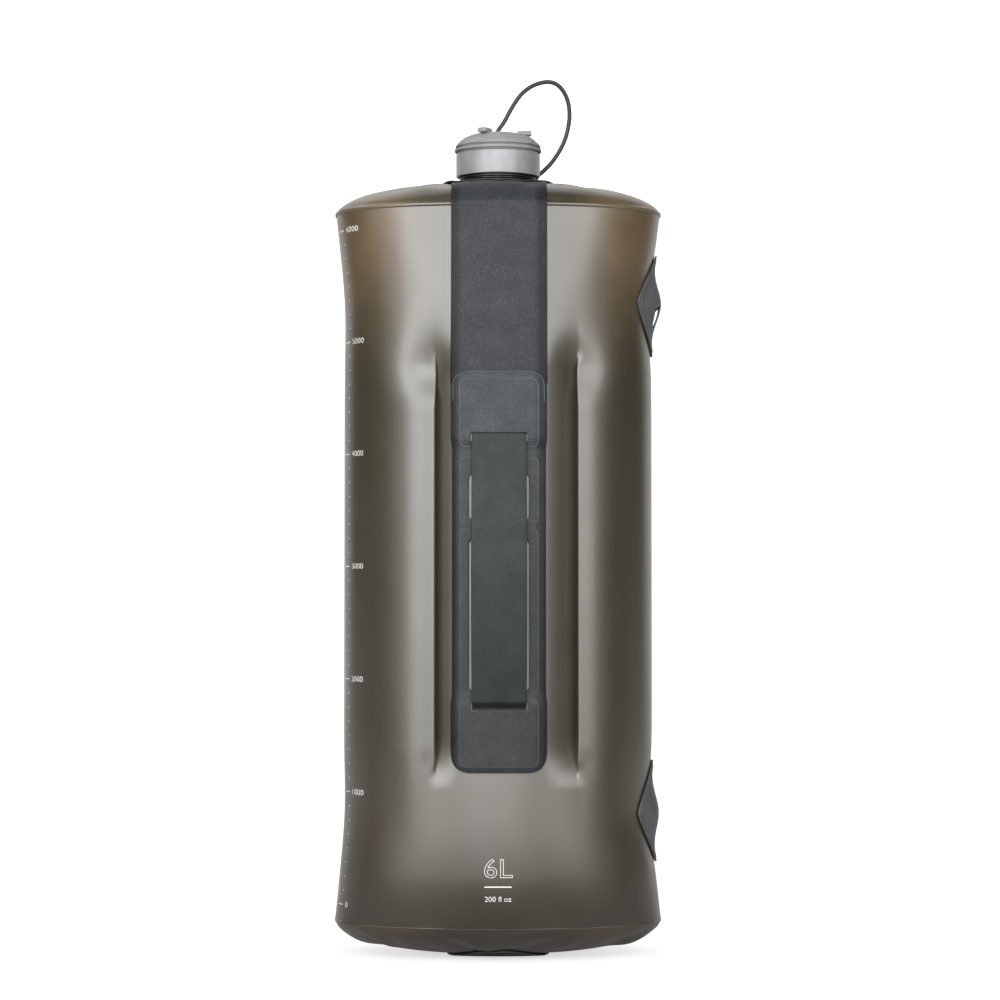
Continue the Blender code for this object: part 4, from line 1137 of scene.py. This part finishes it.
CORD_THICK = 0.0024
CORD_ROUTE_MM = (
    (0.0, 0.0, 459.0), (0.2, 0.1, 460.5), (3.6, 0.7, 465.5), (7.9, 1.6, 473.5), (12.8, 2.8, 480.8),
    (18.2, 4.2, 485.5), (23.7, 5.6, 488.0), (28.8, 7.0, 488.9), (33.0, 8.2, 487.8), (36.6, 9.3, 484.5),
    (39.3, 10.5, 479.2), (40.4, 11.7, 472.9), (40.1, 12.7, 466.2), (38.1, 13.7, 457.7), (34.6, 14.4, 450.4),
    (30.3, 14.8, 444.2), (26.2, 15.0, 439.9), (23.0, 15.0, 437.1), (21.5, 15.0, 435.2), (21.5, 15.0, 434.1),
)


def smooth_route(points, steps):
    """The route's own points with more between them, along one smooth curve."""
    route = [points[0] * 2 - points[1], *points, points[-1] * 2 - points[-2]]
    smooth = []
    for a, b, c, d in zip(route, route[1:], route[2:], route[3:], strict=False):
        for step in range(steps):
            t = step / steps
            bend = b * 2 + (c - a) * t
            bend += (a * 2 - b * 5 + c * 4 - d) * t**2 + (b * 3 - a - c * 3 + d) * t**3
            smooth.append(bend / 2)
    return smooth + [route[-2]]


cord_path = smooth_route([Vector(place) / 1000 for place in CORD_ROUTE_MM], 5)
settings = {"dimensions": "3D", "bevel_depth": CORD_THICK / 2, "bevel_resolution": 6, "use_fill_caps": True}
cord_shape = plan_of(poly_curve([cord_path], **settings))
bmesh.ops.recalc_face_normals(cord_shape, faces=cord_shape.faces)
cord_rubber = moulded_material("cord_rubber", (0.022, 0.023, 0.024), 0.42, 1100.0, 0.3)
cord = finished("tether_line", cord_shape, None, "tether_cord", cord_rubber)
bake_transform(cord)

# Seal. A flat ring of black rubber pressed into the cap, which closes on the neck's rim.

seal_rubber = moulded_material("seal_rubber", (0.014, 0.014, 0.014), 0.62, 1200.0, 0.3)
finished("sealing_ring", flat_ring(0.0155, 0.0209, NECK_TOP + 0.0003), "cap", "cap_seal", seal_rubber)

# Cap skirt. The screw cap itself, moulded in grey with a satin metallic finish: a short plain skirt with a
# flat deck, which turns on the neck's thread.

CAP_RADIUS = 0.0235
CAP_WALL = 0.0018
bore = CAP_RADIUS - CAP_WALL
skirt_outline = [(0, CAP_HIGH), (CAP_RADIUS, CAP_HIGH, True), (CAP_RADIUS, CAP_LOW, True), (bore, CAP_LOW, True)]
skirt_shape = turned(rounded([*skirt_outline, (bore, CAP_DECK_LOW), (0, CAP_DECK_LOW)], 0.0006, 6), 160)
cap_satin = moulded_material("cap_satin", (0.262, 0.267, 0.272), 0.33, 1500.0, 0.08, mirrored=0.8)
finished("cap_skirt_shell", skirt_shape, "cap", "cap_skirt", cap_satin)

# Cap crown. A matt grey cover clipped on over the deck: a rolled rim, a groove, a low dome with a well for
# the swivel in the middle, and three grip lugs round it.

RIM_RADIUS = 0.0244
CROWN_HEIGHT = 0.0115
CROWN = (
    (0.992, 0.07), (1, 0.10), (1, 0.15), (0.992, 0.20), (0.945, 0.235), (0.928, 0.26), (0.945, 0.285),
    (0.980, 0.315), (0.978, 0.345), (0.955, 0.42), (0.925, 0.49), (0.893, 0.555), (0.848, 0.645),
    (0.791, 0.732), (0.725, 0.808), (0.643, 0.875), (0.550, 0.928), (0.451, 0.965), (0.330, 0.990), (0.215, 1),
)
HOLLOW = ((0.43, 0.81), (0.615, 0.73), (0.75, 0.60), (0.844, 0.45))


def crown_points(shares):
    return [(RIM_RADIUS * out, CROWN_LOW + CROWN_HEIGHT * up) for out, up in shares]


well = HEAD_RADIUS + 0.0003
crown_outline = [(0.0206, CROWN_LOW), (0.0223, CROWN_LOW), (0.0223, CROWN_LOW + 0.0008), *crown_points(CROWN)]
crown_outline += [(well, CAP_TOP), (well, HEAD_LOW - 0.0003), (0.0021, HEAD_LOW - 0.0003)]
crown_outline += [(0.0021, HEAD_LOW - 0.0019), (well, HEAD_LOW - 0.0019), *crown_points(HOLLOW)]
crown_shape = turned(crown_outline, 160)
for number in range(3):
    lug = box((0.0080, 0.0055, 0.0026), (0.0148, 0, CAP_TOP), 0.0009, 4, math.tau * number / 3)
    join_into(crown_shape, lug)
crown_matt = moulded_material("crown_matt", (0.27, 0.27, 0.265), 0.55, 1100.0, 0.3)
finished("cap_crown", crown_shape, "cap", "cap_dome", crown_matt)

# The studio: a pale floor and a wide white wall behind, five tall soft lamps in an arc in front, brightest
# between the middle and the left and faint at both ends, and one overhead behind the bag.


def stage_board(name, shape, shade, painted_shadow_glow, mirrored_front, mirrored_back):
    """A pale board. The camera sees it as bright as its glow says, reflections see a share of that, smaller in
    front of the bag than behind it, which is painted shade in reflections, and it still takes the bag's shadow. The
    glow rises from a lower value near the bag, a painted shadow round its foot, to 1, white, further off."""
    material, shader = new_material(name, (shade, shade, shade), 0.9)
    tree = material.node_tree
    place = add_node(tree, "TexCoord", out="Object")
    narrowed = add_node(tree, "VectorMath", place, (0.6, 1, 1), operation="MULTIPLY")
    reach = add_node(tree, "VectorMath", narrowed, operation="LENGTH", out="Value")
    # Painted shadow: the glow is lower near the bag.
    glow_and_painted_shadow = ramp(tree, reach, 0.012, 0.088, painted_shadow_glow, 1.0)
    seen = add_node(tree, "LightPath", out=None)
    direct = reckon(tree, "MAXIMUM", seen["Is Camera Ray"], seen["Is Transmission Ray"])
    depth = add_node(tree, "SeparateXYZ", place, out="Y")
    # Painted shade: reflections see less of the board in front of the bag.
    share = ramp(tree, depth, -0.1, 0.15, mirrored_front, mirrored_back)
    mirrored_ray = reckon(tree, "MULTIPLY", seen["Is Glossy Ray"], share)
    strength = reckon(tree, "MULTIPLY", glow_and_painted_shadow, reckon(tree, "MAXIMUM", direct, mirrored_ray))
    feed(shader, Emission_Color=(1, 1, 1, 1), Emission_Strength=strength)
    board = put_in_scene(name, as_mesh(name, shape))
    board.data.materials.append(material)
    return board


floor_shape = bmesh.new()
bmesh.ops.create_circle(floor_shape, cap_ends=True, segments=96, radius=6)
stage_board("floor", floor_shape, 0.30, 0.58, 0.0, 0.45)
wall_shape = bmesh.new()
bmesh.ops.create_grid(wall_shape, x_segments=1, y_segments=1, size=1)
bmesh.ops.scale(wall_shape, vec=(3.2, 2.4, 1), verts=wall_shape.verts)
backdrop = stage_board("backdrop", wall_shape, 0.80, 1.0, 0.59, 0.59)
backdrop.rotation_euler.x = math.radians(90)
backdrop.location = (0, 2.4, 1.6)


def soft_lamp(name, turn_deg, rise_deg, reach, size, power):
    """A rectangular soft lamp at this turn from the front, left positive, and this rise, facing the bag."""
    lamp = bpy.data.lights.new(name, "AREA")
    lamp.shape = "RECTANGLE"
    lamp.size, lamp.size_y = size
    lamp.energy = power
    turn, rise = math.radians(turn_deg), math.radians(rise_deg)
    away = Vector((-math.sin(turn) * math.cos(rise), -math.cos(turn) * math.cos(rise), math.sin(rise)))
    holder = put_in_scene(name, lamp)
    holder.location = Vector((0, 0, 0.22)) + away * reach
    holder.rotation_euler = away.to_track_quat("Z", "Y").to_euler()


front_lamps = ((-54, 0.8, 2.4), (-31, 1.05, 26), (3, 1.1, 38), (34.5, 1.02, 34), (58, 0.7, 3.6))
for number, (turn_deg, width, power) in enumerate(front_lamps, 1):
    soft_lamp("softbox_%d" % number, turn_deg, 12.5, 2.2, (width, 2.1), power)
soft_lamp("overhead_softbox", 160, 68, 1.4, (1.2, 1.0), 4.2)

surround = bpy.data.worlds.new("studio")
surround.use_nodes = True
bpy.context.scene.world = surround
sky = surround.node_tree
ambient = sky.nodes["Background"]
feed(ambient, Color=(0.9, 0.93, 1, 1), Strength=0.04)
white = add_node(sky, "Background", Color=(1, 1, 1, 1), Strength=1.0)
seen = add_node(sky, "LightPath", out=None)
direct = reckon(sky, "MAXIMUM", seen["Is Camera Ray"], seen["Is Transmission Ray"])
feed(sky.nodes["World Output"], Surface=add_node(sky, "MixShader", direct, ambient.outputs[0], white))
bpy.context.scene.view_settings.view_transform = "Standard"
